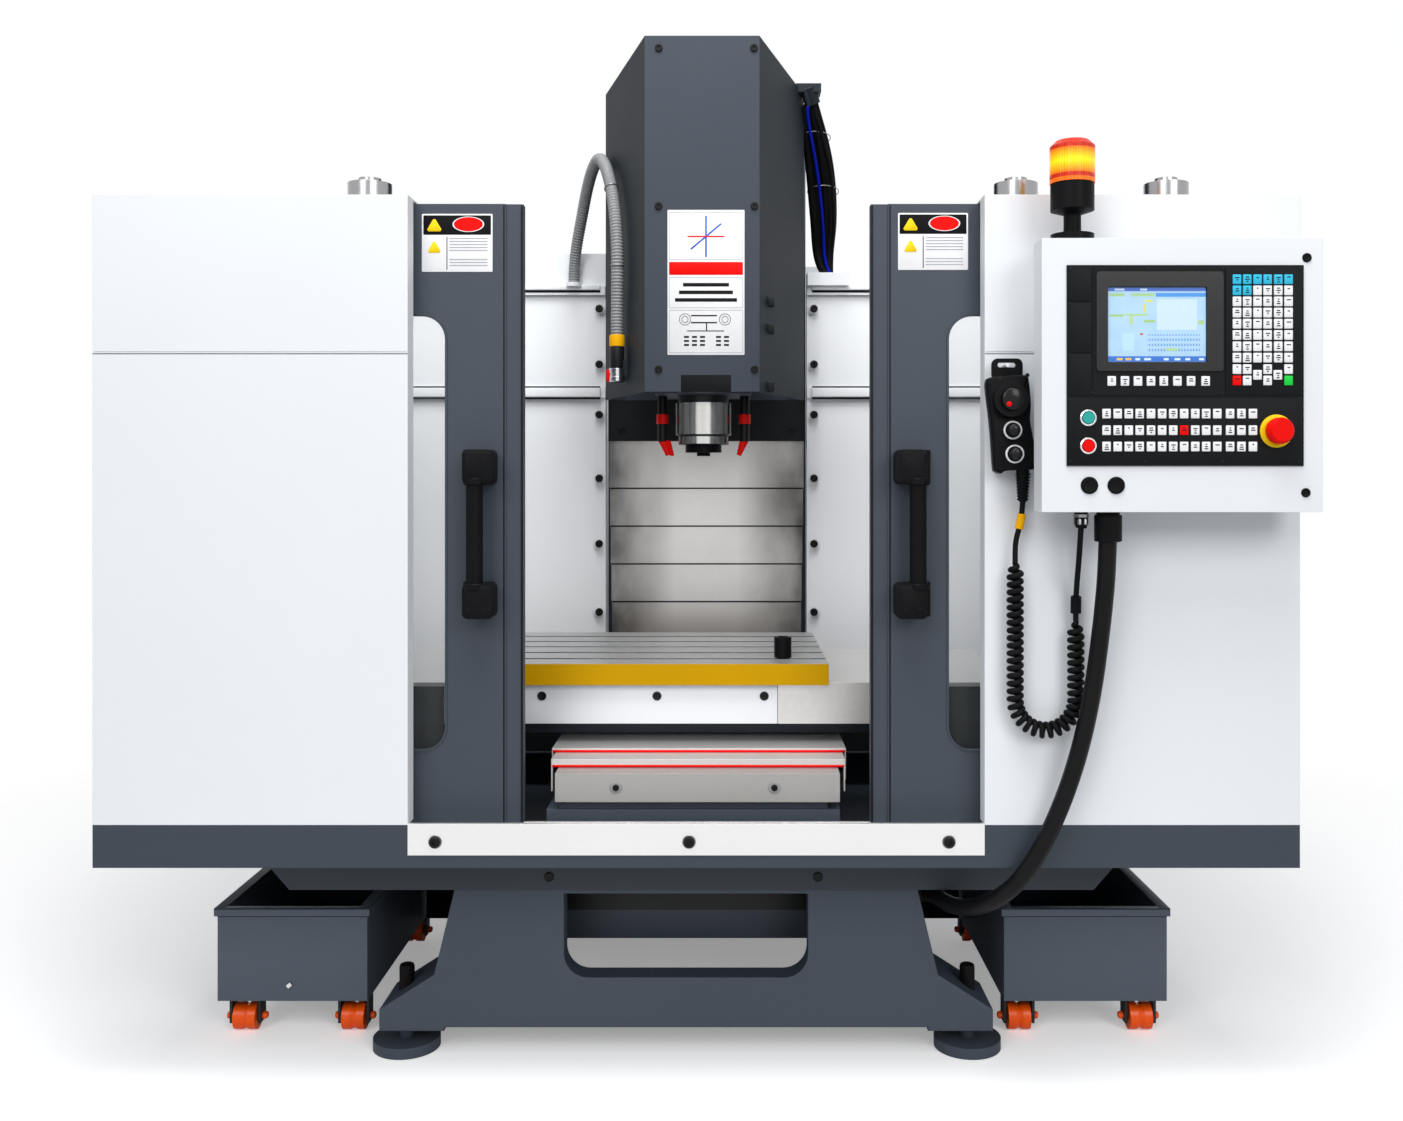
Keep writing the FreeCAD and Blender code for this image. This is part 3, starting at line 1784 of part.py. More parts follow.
def make_pendant():
    """The hand pendant: a box on a slotted hanger, with a pulse wheel and two selector knobs."""
    w = d.pendant_width / 2
    tall = d.pendant_height / 2
    y0 = d.pendant_front
    y1 = y0 + d.pendant_thickness
    body = box(-w, w, y0, y1, -tall, tall)
    hanger = box(
        -d.hanger_width / 2, d.hanger_width / 2, y1 - 2 * d.hanger_sheet, y1 - d.hanger_sheet, tall - 1, tall + d.hanger_height
    )
    slot_low = tall + d.peg_rise + d.peg_radius + d.fit_gap - d.hanger_slot_height
    slot = box(
        -d.hanger_slot_width / 2,
        d.hanger_slot_width / 2,
        y1 - 3 * d.hanger_sheet,
        y1,
        slot_low,
        slot_low + d.hanger_slot_height,
    )
    seats = []
    for up, radius in ((d.handwheel_rise, 6), (d.axis_knob_rise, 5), (d.step_knob_rise, 5)):
        seats.append(cylinder("y", 0, y0 - 1, up, Size.of(radius) + d.fit_gap, 12))
    node("pendant_body", tilted(cut(fuse(body, hanger), slot, *seats)))
    rim = cylinder("-y", 0, y0 - 2, d.handwheel_rise, d.handwheel_radius, d.handwheel_thickness)
    dish = cylinder(
        "-y", 0, y0 - d.handwheel_thickness + 1, d.handwheel_rise, d.handwheel_radius * 0.64, d.handwheel_thickness
    )
    axle = cylinder("y", 0, y0 - 3, d.handwheel_rise, 6, 12)
    crank = cylinder(
        "-y",
        d.handwheel_radius * -0.25,
        y0 - d.handwheel_thickness + 2,
        d.handwheel_rise - d.handwheel_radius * 0.3,
        5,
        d.handwheel_thickness,
    )
    node("handwheel", tilted(fuse(cut(rim, dish), axle, crank)))
    for name, up in (("axis_knob", d.axis_knob_rise), ("step_knob", d.step_knob_rise)):
        skirt = cylinder("-y", 0, y0 - d.fit_gap, up, d.knob_radius * 1.5, 2)
        cap = cylinder("-y", 0, y0 - d.fit_gap, up, d.knob_radius, d.knob_height)
        stem = cylinder("y", 0, y0 - 1, up, 5, 10)
        pointer = box(-2.5, 2.5, y0 - d.knob_height - 3, y0 - 4, up - d.knob_radius, up + d.knob_radius)
        node(name, tilted(fuse(skirt, cap, stem, pointer)))


# ---------------------------------------------------------------- cords and hoses
def rounded_path(points):
    """Straight runs joined by tangent arcs, each as large as its two runs allow."""
    corners = [Vector(*point) for point in points]
    edges = []
    radii = []
    start = corners[0]
    for index in range(1, len(corners) - 1):
        corner = corners[index]
        before = corners[index - 1] - corner
        after = corners[index + 1] - corner
        shorter = min(before.Length, after.Length)
        into = Vector(before).normalize()
        out = Vector(after).normalize()
        half_turn = (math.pi - into.getAngle(out)) / 2
        reach = 0.45 * shorter
        radii.append(reach / math.tan(half_turn))
        first = corner + into * reach
        last = corner + out * reach
        inward = (into + out).normalize()
        middle_distance = radii[-1] / math.cos(half_turn) - radii[-1]
        middle = corner + inward * middle_distance
        edges.append(Part.LineSegment(start, first).toShape())
        edges.append(Part.Arc(first, middle, last).toShape())
        start = last
    edges.append(Part.LineSegment(start, corners[-1]).toShape())
    return Part.Wire(edges), radii


def feature(name, shape):
    """A node whose solid is worked out directly."""
    thing = document.addObject("Part::Feature", "Worked")
    thing.Shape = shape
    return node(name, thing)


def tube(name, points, radius):
    """A round cord along a rounded path, checked against its section times its length."""
    path, radii = rounded_path(points)
    start = Vector(*points[0])
    heading = Vector(*points[1]) - start
    section = Part.Wire(Part.makeCircle(radius, start, heading))
    solid = path.makePipeShell([section], True, False)
    ratio = solid.Volume / (math.pi * radius * radius * path.Length)
    print("%s: length %.0f mm, volume ratio %.4f, least radius %.0f mm" % (name, path.Length, ratio, min(radii)))
    print("  radii " + " ".join("%.0f" % value for value in radii))
    return solid




def curl_axis(distance):
    """Centre line of the hanging curly cord: down, round a half circle and up again."""
    x0, y0, z0 = LEAD[-1]
    top = z0 - 2 * CURL["wire"]
    down = top - CURL["low"]
    round_length = math.pi * CURL["bend"]
    if distance < down:
        return Vector(x0, y0, top - distance), Vector(-1, 0, 0)
    if distance < down + round_length:
        angle = (distance - down) / CURL["bend"]
        out = Vector(-math.cos(angle), 0, -math.sin(angle))
        return Vector(x0 + CURL["bend"], y0, CURL["low"]) + out * CURL["bend"], out
    return Vector(x0 + 2 * CURL["bend"], y0, CURL["low"] + distance - down - round_length), Vector(1, 0, 0)


def curl_length():
    """Length of the centre line between the two straight ends of the curly cord."""
    down = LEAD[-1][2] - 2 * CURL["wire"] - CURL["low"]
    up = TAIL[0][2] - 2 * CURL["wire"] - CURL["low"]
    return down + math.pi * CURL["bend"] + up


def curl_point(turn):
    """A point of the helix after so many turns; its radius swells from nothing at both ends."""
    turns = CURL["turns"]
    centre, out = curl_axis(curl_length() * turn / turns)
    near = min(turn, turns - turn) / CURL["ramp_turns"]
    swell = 1.0 if near >= 1 else near * near * (3 - 2 * near)
    angle = 2 * math.pi * turn
    return centre + (out * math.cos(angle) + Vector(0, 1, 0) * math.sin(angle)) * (CURL["radius"] * swell)


def curl_heading(turn):
    """Direction of the helix at a turn."""
    step = 0.002
    low = max(0.0, turn - step)
    high = min(float(CURL["turns"]), turn + step)
    return (curl_point(high) - curl_point(low)).normalize()


def biarc(start, start_heading, end, end_heading):
    """Two arcs that leave one point and reach the next along the given headings."""
    chord = end - start
    both = start_heading + end_heading
    a = 2 * (1 - start_heading.dot(end_heading))
    b = 2 * chord.dot(both)
    c = -chord.dot(chord)
    reach = -c / b if abs(a) < 1e-9 else (-b + math.sqrt(b * b - 4 * a * c)) / (2 * a)
    first_corner = start + start_heading * reach
    last_corner = end - end_heading * reach
    joint = (first_corner + last_corner) * 0.5
    return [arc_to(start, first_corner, joint), arc_to(joint, last_corner, end)]


def arc_to(start, corner, end):
    """The arc that touches both sides of a corner at its two ends."""
    into = (start - corner).normalize()
    out = (end - corner).normalize()
    half_turn = (math.pi - into.getAngle(out)) / 2
    if half_turn < 1e-5:
        return Part.LineSegment(start, end).toShape()
    reach = (start - corner).Length
    radius = reach / math.tan(half_turn)
    inward = (into + out).normalize()
    middle = corner + inward * (radius / math.cos(half_turn) - radius)
    return Part.Arc(start, middle, end).toShape()


def least_curl_gap():
    """Smallest free space between neighbouring turns of the curly cord."""
    per_turn = 24
    count = CURL["turns"] * per_turn
    points = [curl_point(index / per_turn) for index in range(count + 1)]
    least = 1e9
    for index in range(count + 1):
        for other in range(index + per_turn * 4 // 5, min(index + 2 * per_turn, count) + 1):
            least = min(least, points[index].distanceToPoint(points[other]))
    return least - 2 * CURL["wire"]


def make_curly_cord():
    """The curly cord of the pendant, one unbroken tube with a straight end at each side."""
    start = Vector(*LEAD[-1])
    end = Vector(*TAIL[0])
    halves = 2 * CURL["turns"]
    first = curl_point(0)
    last = curl_point(CURL["turns"])
    edges = [Part.LineSegment(start, first).toShape()]
    places = [curl_point(index / 2) for index in range(halves + 1)]
    headings = [curl_heading(index / 2) for index in range(halves + 1)]
    headings[0] = Vector(0, 0, -1)
    headings[-1] = Vector(0, 0, 1)
    for index in range(halves):
        edges += biarc(places[index], headings[index], places[index + 1], headings[index + 1])
    edges.append(Part.LineSegment(last, end).toShape())
    path = Part.Wire(edges)
    corners = []
    for side in range(7):
        angle = side * math.pi / 3
        corners.append(start + Vector(math.cos(angle), math.sin(angle), 0) * CURL["wire"])
    solid = path.makePipeShell([Part.makePolygon(corners)], True, False)
    section = 1.5 * math.sqrt(3) * CURL["wire"] ** 2
    print("curly_cord: length %.0f mm, volume ratio %.4f" % (path.Length, solid.Volume / (section * path.Length)))
    print("  least gap %.2f mm, turns %d" % (least_curl_gap(), CURL["turns"]))
    feature("curly_cord", solid)




def hose_ring(centre, heading, radius):
    """A many-sided ring square to the hose, its first corner always towards one side."""
    aside = heading.cross(Vector(1, 0, 0))
    aside = Vector(0, 1, 0) if aside.Length < 1e-6 else aside.normalize()
    up = aside.cross(heading).normalize()
    corners = []
    for side in range(HOSE["sides"] + 1):
        angle = 2 * math.pi * (side % HOSE["sides"]) / HOSE["sides"]
        corners.append(centre + (up * math.cos(angle) + aside * math.sin(angle)) * radius)
    return Part.makePolygon(corners)


def make_air_hose():
    """The ribbed hose from the splash wall to the head, open from end to end."""
    path, radii = rounded_path(AIR_HOSE)
    steps = HOSE["ribs"] * 4
    points = path.discretize(Number=steps + 1)
    outer = []
    inner = []
    for index, point in enumerate(points):
        before = points[max(index - 1, 0)]
        after = points[min(index + 1, steps)]
        heading = (after - before).normalize()
        crest = index % 4 in (2, 3)
        outer.append(hose_ring(point, heading, HOSE["crest"] if crest else HOSE["valley"]))
        if index % 4 == 0:
            inner.append(hose_ring(point, heading, HOSE["bore"]))
    wall = Part.makeLoft(outer, True, True)
    hollow = Part.makeLoft(inner, True, True)
    solid = wall.cut(hollow).Solids[0]
    print("air_hose: length %.0f mm, ribs %d, volume %.0f mm3" % (path.Length, HOSE["ribs"], solid.Volume))
    print("  radii " + " ".join("%.0f" % value for value in radii))
    feature("air_hose", solid)


def make_cords():
    """The pendant's cable, the box's conduit and the two lines to the head, with their glands."""
    wire = CURL["wire"]
    lead = tube("pendant lead", LEAD, wire)
    tail = tube("pendant tail", TAIL, wire)
    feature("pendant_cable", Part.makeCompound([lead, tail]))
    make_curly_cord()
    feature("conduit", tube("conduit", CONDUIT, CONDUIT_RADIUS))
    feature("cable_bundle", tube("cable bundle", CABLE_BUNDLE, BUNDLE_RADIUS))
    make_air_hose()
    make_glands()


def leg_side(z):
    """Where the sloping right side of the base lies at a height."""
    spread = (d.leg_waist_half_width - d.leg_top_half_width) / (d.leg_top - d.leg_waist)
    return d.base_offset + d.leg_top_half_width + (d.leg_top - z) * spread


def gland(end, before, radius, length):
    """A round sleeve that goes on from a cord's end in the cord's own heading."""
    heading = (Vector(*end) - Vector(*before)).normalize()
    sleeve = document.addObject("Part::Cylinder", "Sleeve")
    bind(sleeve, "Radius", radius)
    bind(sleeve, "Height", length)
    return place(sleeve, *end, Rotation(Vector(0, 0, 1), heading))


def make_glands():
    """The grommet of the pendant's cable and the glands that seat both ends of the cords."""
    x, y, z = LEAD[0]
    start = z + d.gland_lap / 2
    bottom = pendant_point(d.lead_offset, -d.pendant_height / 2)[1]
    length = bottom - d.grommet_gap - start
    grommet = cone("z", x, y, start, d.grommet_low_radius, d.grommet_high_radius, length)
    grommet = fuse(grommet, gland(LEAD[0], LEAD[1], d.lead_sleeve_radius, d.gland_lap))
    x, y, z = TAIL[-1]
    start = z + d.gland_lap
    tail_gland = cylinder("z", x, y, start, d.tail_gland_radius, d.control_bottom - start)
    tail_gland = fuse(tail_gland, gland(TAIL[-1], TAIL[-2], d.tail_sleeve_radius, 2 * d.gland_lap))
    x, y, z = CONDUIT[0]
    start = z + d.gland_lap
    box_gland = cylinder("z", x, y, start, d.conduit_gland_radius, d.control_bottom - start)
    box_gland = fuse(box_gland, gland(CONDUIT[0], CONDUIT[1], d.conduit_sleeve_radius, 2 * d.gland_lap))
    x, y, z = CONDUIT[-1]
    low = z - d.conduit_gland_radius
    high = z + d.conduit_gland_radius
    elbow = prism(
        "front",
        [(leg_side(low), low), (x + d.elbow_reach, low), (x + d.elbow_reach, high), (leg_side(high), high)],
        y + d.elbow_setback,
        d.elbow_length - d.elbow_setback,
    )
    elbow = fuse(elbow, gland(CONDUIT[-1], CONDUIT[-2], d.elbow_sleeve_radius, 2 * d.elbow_setback))
    node("cable_glands", group(grommet, tail_gland, box_gland, elbow))


# ---------------------------------------------------------------- coolant tanks
def make_tank(name, centre, width):
    """A coolant tank of folded sheet with a rim, four casters under it and their wheels."""
    half = width / 2
    proud = d.tank_rim_proud
    t = d.tank_sheet
    y0 = d.tank_front
    y1 = d.tank_front + d.tank_length
    shell = box(centre - half + proud, centre + half - proud, y0 + proud, y1 - proud, d.tank_bottom, d.tank_top)
    rim = box(centre - half, centre + half, y0, y1, d.tank_top - d.tank_rim_height, d.tank_top)
    room = box(
        centre - half + proud + t,
        centre + half - proud - t,
        y0 + proud + t,
        y1 - proud - t,
        d.tank_bottom + t,
        d.tank_top + 1,
    )
    pieces = [cut(fuse(shell, rim), room)]
    wheel_half = d.wheel_width / 2
    fork_half = wheel_half + d.fork_gap + d.fork_sheet
    rows = (("front", y0 + d.caster_inset_y + d.wheel_radius), ("rear", y1 - d.caster_inset_y - d.wheel_radius))
    for row, y in rows:
        wheels = []
        for side in (-1, 1):
            x = centre + side * (half - d.caster_inset_x)
            pieces.append(
                box(
                    x - fork_half,
                    x + fork_half,
                    y - d.wheel_radius,
                    y + d.wheel_radius,
                    d.tank_bottom - d.fork_sheet,
                    d.tank_bottom,
                )
            )
            for cheek in (-1, 1):
                middle = x + cheek * (fork_half - d.fork_sheet / 2)
                pieces.append(
                    box(
                        middle - d.fork_sheet / 2,
                        middle + d.fork_sheet / 2,
                        y - d.wheel_radius * 0.6,
                        y + d.wheel_radius * 0.6,
                        d.wheel_radius - d.axle_radius * 2,
                        d.tank_bottom - 1,
                    )
                )
            pieces.append(cylinder("x", x - fork_half - 4, y, d.wheel_radius, d.axle_radius, 2 * fork_half + 8))
            for end in (-1, 1):
                start = x + end * (wheel_half + d.fork_gap / 2 + d.fit_gap / 2) - (d.fork_gap - d.fit_gap) / 2
                pieces.append(
                    cylinder("x", start, y, d.wheel_radius, d.axle_radius * 1.6, d.fork_gap - d.fit_gap)
                )
            bore = d.axle_radius + d.running_gap
            wheels.append(
                revolve(
                    [
                        (bore, -wheel_half),
                        (d.wheel_radius, -wheel_half),
                        (d.wheel_radius, -wheel_half * 0.3),
                        (d.wheel_radius - d.wheel_groove, 0),
                        (d.wheel_radius, wheel_half * 0.3),
                        (d.wheel_radius, wheel_half),
                        (bore, wheel_half),
                    ],
                    x,
                    y,
                    d.wheel_radius,
                    "x",
                )
            )
        node("%s_%s_wheels" % (name, row), group(*wheels))
    node(name, fuse(*pieces))


# ---------------------------------------------------------------- build and write
make_base()
make_feet()
make_column()
make_chip_tray()
make_skirt()
make_cabinet("left_cabinet", -1)
make_cabinet("right_cabinet", 1)
make_sill()
make_door(-1, "left")
make_door(1, "right")
make_rear_walls()
make_power_cabinet()
make_saddle()
make_y_cover()
make_table()
make_table_trim()
make_head()
make_hood()
make_spindle()
make_nozzles()
make_z_cover()
make_control_box()
make_panel()
make_beacon()
make_pendant()
make_cords()
make_tank("left_tank", d.tank_left_centre, d.tank_left_width)
make_tank("right_tank", d.tank_right_centre, d.tank_right_width)
document.recompute()

for thing in document.Objects:
    if "Invalid" in thing.State or "Error" in thing.State:
        raise RuntimeError("%s (%s) did not build" % (thing.Name, thing.Label))
for thing in nodes:
    shape = thing.Shape
    if shape.isNull() or not shape.isValid() or not shape.Solids:
        raise RuntimeError("%s has no valid solid" % thing.Label)

os.makedirs("parts", exist_ok=True)
facets = 0
for thing in nodes:
    thing.Shape.exportStep("parts/%s.step" % thing.Label)
    facets += len(thing.Shape.tessellate(0.5)[1])
print("%d nodes, %d facets" % (len(nodes), facets))
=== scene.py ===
# %% [markdown]
# # A vertical machining center
# The machine's solids come from CAD as a fixed frame, in metres: X to the operator's right, Y to the back, Z up.
# Every cell below dresses one part of it: first the camera, then the cords, then the finishes and the small
# pieces that CAD leaves out, such as keys, bolts, plates and wipers. Each piece sits on the solid that carries it.

# %% Load the frame
import json
import math

import bmesh
import bpy
import numpy as np
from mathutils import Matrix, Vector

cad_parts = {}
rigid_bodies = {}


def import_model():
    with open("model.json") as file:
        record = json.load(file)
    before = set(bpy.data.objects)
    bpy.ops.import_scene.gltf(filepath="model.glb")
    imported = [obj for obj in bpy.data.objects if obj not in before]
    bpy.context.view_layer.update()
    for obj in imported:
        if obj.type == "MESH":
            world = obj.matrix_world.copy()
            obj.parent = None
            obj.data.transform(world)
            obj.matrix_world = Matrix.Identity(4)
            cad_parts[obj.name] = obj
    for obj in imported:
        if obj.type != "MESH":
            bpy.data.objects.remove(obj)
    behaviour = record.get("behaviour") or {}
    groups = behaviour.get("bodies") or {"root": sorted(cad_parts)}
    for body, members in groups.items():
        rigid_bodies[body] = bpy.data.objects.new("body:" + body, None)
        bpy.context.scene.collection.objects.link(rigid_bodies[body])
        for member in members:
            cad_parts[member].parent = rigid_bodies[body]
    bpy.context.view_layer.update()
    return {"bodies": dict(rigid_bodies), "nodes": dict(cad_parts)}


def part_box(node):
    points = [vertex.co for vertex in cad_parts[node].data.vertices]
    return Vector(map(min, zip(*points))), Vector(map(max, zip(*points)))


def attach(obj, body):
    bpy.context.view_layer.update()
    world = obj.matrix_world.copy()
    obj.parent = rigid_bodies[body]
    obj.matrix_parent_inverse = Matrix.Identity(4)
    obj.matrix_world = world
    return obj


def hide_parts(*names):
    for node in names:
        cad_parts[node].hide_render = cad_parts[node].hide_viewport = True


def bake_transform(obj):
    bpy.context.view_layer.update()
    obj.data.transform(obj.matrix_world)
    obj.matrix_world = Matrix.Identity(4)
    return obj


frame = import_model()
print("bodies", len(frame["bodies"]), "nodes", len(frame["nodes"]))

# %% [markdown]
# ## The camera
# The picture was taken level and square to the front, from about two and a half metres before the doors. Level
# uprights stay parallel, so the lens is only shifted, never tilted. The same numbers turn a pixel of the picture
# into a place on any upright plane, which is how the small front pieces are laid out.

# %% Camera and the plane helper
EYE = np.array([0.0676, -3.540, 1.250])
FOCAL, CENTRE = 1300.0, (730.0, 478.0)
WIDE, TALL, SENSOR = 1403.0, 1121.0, 36.0


def new_object(name, data):
    """An object of the scene that shows a mesh, a curve, a lamp or a camera."""
    thing = bpy.data.objects.new(name, data)
    bpy.context.scene.collection.objects.link(thing)
    return thing


def seen(px, py, y):
    """X and Z of a pixel on the upright plane at depth y: the offset grows with the distance from the eye."""
    distance = (y - EYE[1]) / FOCAL
    return EYE[0] + (px - CENTRE[0]) * distance, EYE[2] - (py - CENTRE[1]) * distance


lens = bpy.data.cameras.new("camera")
lens.sensor_width = SENSOR
lens.lens = SENSOR * FOCAL / WIDE
lens.shift_x = (WIDE / 2 - CENTRE[0]) / WIDE
lens.shift_y = (CENTRE[1] - TALL / 2) / WIDE
camera = new_object("camera", lens)
camera.location = EYE.tolist()
camera.rotation_euler = (math.pi / 2, 0, 0)
bpy.context.scene.camera = camera
print("lens %.1f mm" % lens.lens)

# %% [markdown]
# ## Shader maths
# A finish is easier to read as arithmetic than as a web of nodes. One small class wraps an output socket and gives
# it Python's operators, so that `1 - mask * 0.3` adds the Math nodes by itself. One method adds any other node.

# %% A socket that can be calculated with
def operator(operation, swapped=False):
    """A method that adds one Math node; a reflected operator has its two inputs swapped."""
    def method(value, other=None):
        return value.math(operation, *((other, value) if swapped else (value, other)))
    return method


class Value:
    """One output of a node, with arithmetic that adds Math nodes."""

    __add__, __radd__ = operator("ADD"), operator("ADD", True)
    __sub__, __rsub__ = operator("SUBTRACT"), operator("SUBTRACT", True)
    __mul__, __rmul__ = operator("MULTIPLY"), operator("MULTIPLY", True)
    __truediv__ = operator("DIVIDE")
    __gt__, __lt__ = operator("GREATER_THAN"), operator("LESS_THAN")
    wave, size, either = operator("SINE"), operator("ABSOLUTE"), operator("MAXIMUM")

    def __init__(self, tree, socket):
        self.tree = tree
        self.socket = socket

    def __getitem__(self, name):
        return Value(self.tree, self.socket.node.outputs[name])

    def math(self, operation, first, second):
        node = self.tree.nodes.new("ShaderNodeMath")
        node.operation = operation
        for socket, value in zip(node.inputs, (first, second)):
            if isinstance(value, Value):
                self.tree.links.new(value.socket, socket)
            elif value is not None:
                socket.default_value = value
        return Value(self.tree, node.outputs[0])

    def between(self, low, high):
        """1 between two levels and 0 outside them."""
        return (self > low) * (self < high)


# %% A finish
class Finish:
    """The node tree of a new material, or of a world that is handed over."""

    def __init__(self, owner):
        self.owner = bpy.data.materials.new(owner) if isinstance(owner, str) else owner
        self.owner.use_nodes = True
        self.tree = self.owner.node_tree
        self.tree.nodes.clear()

    def node(self, kind, inputs=None, settings=None, output=0):
        """Add a node: its settings come first, then the values or links of its sockets."""
        made = self.tree.nodes.new("ShaderNode" + kind)
        for key, value in (settings or {}).items():
            setattr(made, key, value)
        for key, value in (inputs or {}).items():
            if isinstance(value, Value):
                self.tree.links.new(value.socket, made.inputs[key])
            elif isinstance(value, tuple) and made.inputs[key].type == "RGBA":
                made.inputs[key].default_value = (*value, 1.0)
            else:
                made.inputs[key].default_value = value
        return Value(self.tree, made.outputs[output])

    def mix(self, share, first, second):
        """Blend two colours: share 0 gives the first and 1 the second."""
        return self.node("Mix", {0: share, 6: first, 7: second}, {"data_type": "RGBA"}, 2)

    def place(self):
        """The point's own X, Y and Z on the piece, in metres."""
        split = self.node("SeparateXYZ", {0: self.node("TexCoord", output="Object")})
        return split["X"], split["Y"], split["Z"]

    def sideways(self):
        """1 where the face points sideways and 0 where it points up or down."""
        normal = self.node("SeparateXYZ", {0: self.node("NewGeometry", output="Normal")})
        return normal["Z"].size() < 0.5

    def clamped(self, value):
        """The value held between 0 and 1."""
        return self.node("Math", {0: value, 1: 1.0}, {"operation": "MULTIPLY", "use_clamp": True})

    def noise(self, scale, detail=3.0, stretch=None, rough=0.5):
        """Cloudy noise over the piece, with so many features to the metre; stretch squeezes it along the axes."""
        point = self.node("TexCoord", output="Object")
        if stretch:
            point = self.node("Mapping", {0: point, "Scale": stretch})
        return self.node("TexNoise", {"Vector": point, "Scale": scale, "Detail": detail, "Roughness": rough})

    def bump(self, height, depth, strength=1.0, normal=None):
        """Turn a height pattern into a bent normal; depth is in metres."""
        inputs = {"Height": height, "Distance": depth, "Strength": strength}
        if normal:
            inputs["Normal"] = normal
        return self.node("Bump", inputs)

    def round_edges(self, radius):
        """A normal that softens every edge as if it were rounded."""
        return self.node("Bevel", {"Radius": radius}, {"samples": 4})

    def end(self, shader, kind="OutputMaterial"):
        """Link the last shader to the output."""
        self.tree.links.new(shader.socket, self.tree.nodes.new("ShaderNode" + kind).inputs[0])
        return self.owner

    def close(self, **sockets):
        """End the material with a Principled shader; underscores in socket names stand for spaces."""
        return self.end(self.node("BsdfPrincipled", {key.replace("_", " "): sockets[key] for key in sockets}))


# %% [markdown]
# ## Rubber and plastic sheaths
# The cords come before everything else, so their finish does too. A sheath is never one black: handling leaves it
# slightly greyer in patches, and its skin has a very fine grain.

# %% Sheath finish
def sheath(name, colour, worn, rough=0.55, level=0.06):
    """A dull plastic skin whose colour drifts between two shades, with a fine grain."""
    f = Finish(name)
    cloud = f.noise(14.0)
    grain = f.bump(f.noise(900.0, 2.0), 0.0003, 0.35)
    return f.close(
        Base_Color=f.mix(cloud, colour, worn), Roughness=rough + cloud * 0.12, Specular_IOR_Level=level, Normal=grain
    )


black_sheath = sheath("black_sheath", (0.0035, 0.0035, 0.004), (0.009, 0.009, 0.010), 0.45)
conduit_skin = sheath("conduit_skin", (0.0030, 0.0030, 0.0035), (0.007, 0.007, 0.008), 0.28, 0.12)
grey_hose_skin = sheath("grey_hose_skin", (0.23, 0.235, 0.24), (0.33, 0.335, 0.34), 0.42, 0.3)
blue_hose_skin = sheath("blue_hose_skin", (0.003, 0.010, 0.34), (0.005, 0.018, 0.44), 0.35)
black_plastic = sheath("black_plastic", (0.0030, 0.0030, 0.0035), (0.007, 0.007, 0.008), 0.36)
yellow_plastic = sheath("yellow_plastic", (0.80, 0.36, 0.003), (0.86, 0.44, 0.004), 0.4)

# %% [markdown]
# ## The cords
# A cord is one smooth curve through the points of its route, repeated here in millimetres from the CAD file. The
# pendant's cord is a single spline: a straight lead, the helix of the curly part, then the tail up to its gland.

# %% Routes
def route(*points):
    """The points of a route in metres, given in millimetres."""
    return (np.array(points) / 1000).tolist()


CONDUIT = route(
    (798, -1028, 1150), (797, -1025, 1075), (793, -1017, 1000), (787, -1008, 925), (778, -1004, 850),
    (765, -1000, 775), (748, -994, 700), (727, -988, 630), (701, -981, 562), (671, -976, 500), (636, -961, 443),
    (600, -922, 398), (566, -867, 366), (542, -808, 349), (523, -752, 343), (513, -700, 342),
)
LEAD = route((647, -967, 1203), (645, -967, 1174), (639, -967, 1147), (632, -967, 1122), (632, -967, 1095))
TAIL = route(
    (752, -967, 978), (752, -967, 1007), (751, -979, 1044), (749, -998, 1079), (747, -1015, 1116), (747, -1024, 1155)
)
AIR_HOSE = route(
    (-374, 140, 1802), (-374, 140, 1840), (-364, 118, 1905), (-345, 80, 1975), (-324, 25, 2045), (-300, -40, 2090),
    (-275, -108, 2098), (-252, -170, 2052), (-234, -213, 1985), (-222, -240, 1905), (-217, -252, 1820),
    (-218, -248, 1735), (-219, -241, 1670), (-219, -241, 1613),
)
CABLE_BUNDLE = route(
    (288, -66, 2250), (302, -46, 2210), (319, -16, 2164), (335, 20, 2108), (346, 58, 2042), (351, 98, 1964),
    (347, 128, 1908), (344, 140, 1868), (344, 140, 1829),
)


def route_curve(name, points, smooth):
    """A NURBS curve of order 3 along a row of points, from the first of them to the last."""
    curve = bpy.data.curves.new(name, "CURVE")
    curve.dimensions = "3D"
    curve.resolution_u = smooth
    spline = curve.splines.new("NURBS")
    spline.points.add(len(points) - 1)
    spline.points.foreach_set("co", np.column_stack([points, np.ones(len(points))]).ravel())
    spline.order_u = 3
    spline.use_endpoint_u = True
    return curve


def cord(name, points, radius, material, smooth=6):
    """A round cord with closed ends along a route."""
    curve = route_curve(name, points, smooth)
    curve.bevel_depth = radius
    curve.bevel_resolution = 4
    curve.use_fill_caps = True
    curve.materials.append(material)
    thing = new_object(name, curve)
    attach(thing, "root")
    return thing


# %% Curly part of the pendant's cord
CURL = {"turns": 41, "radius": 0.012, "wire": 0.0055, "bend": 0.060, "low": 0.811, "ramp": 1.5, "per_turn": 14}


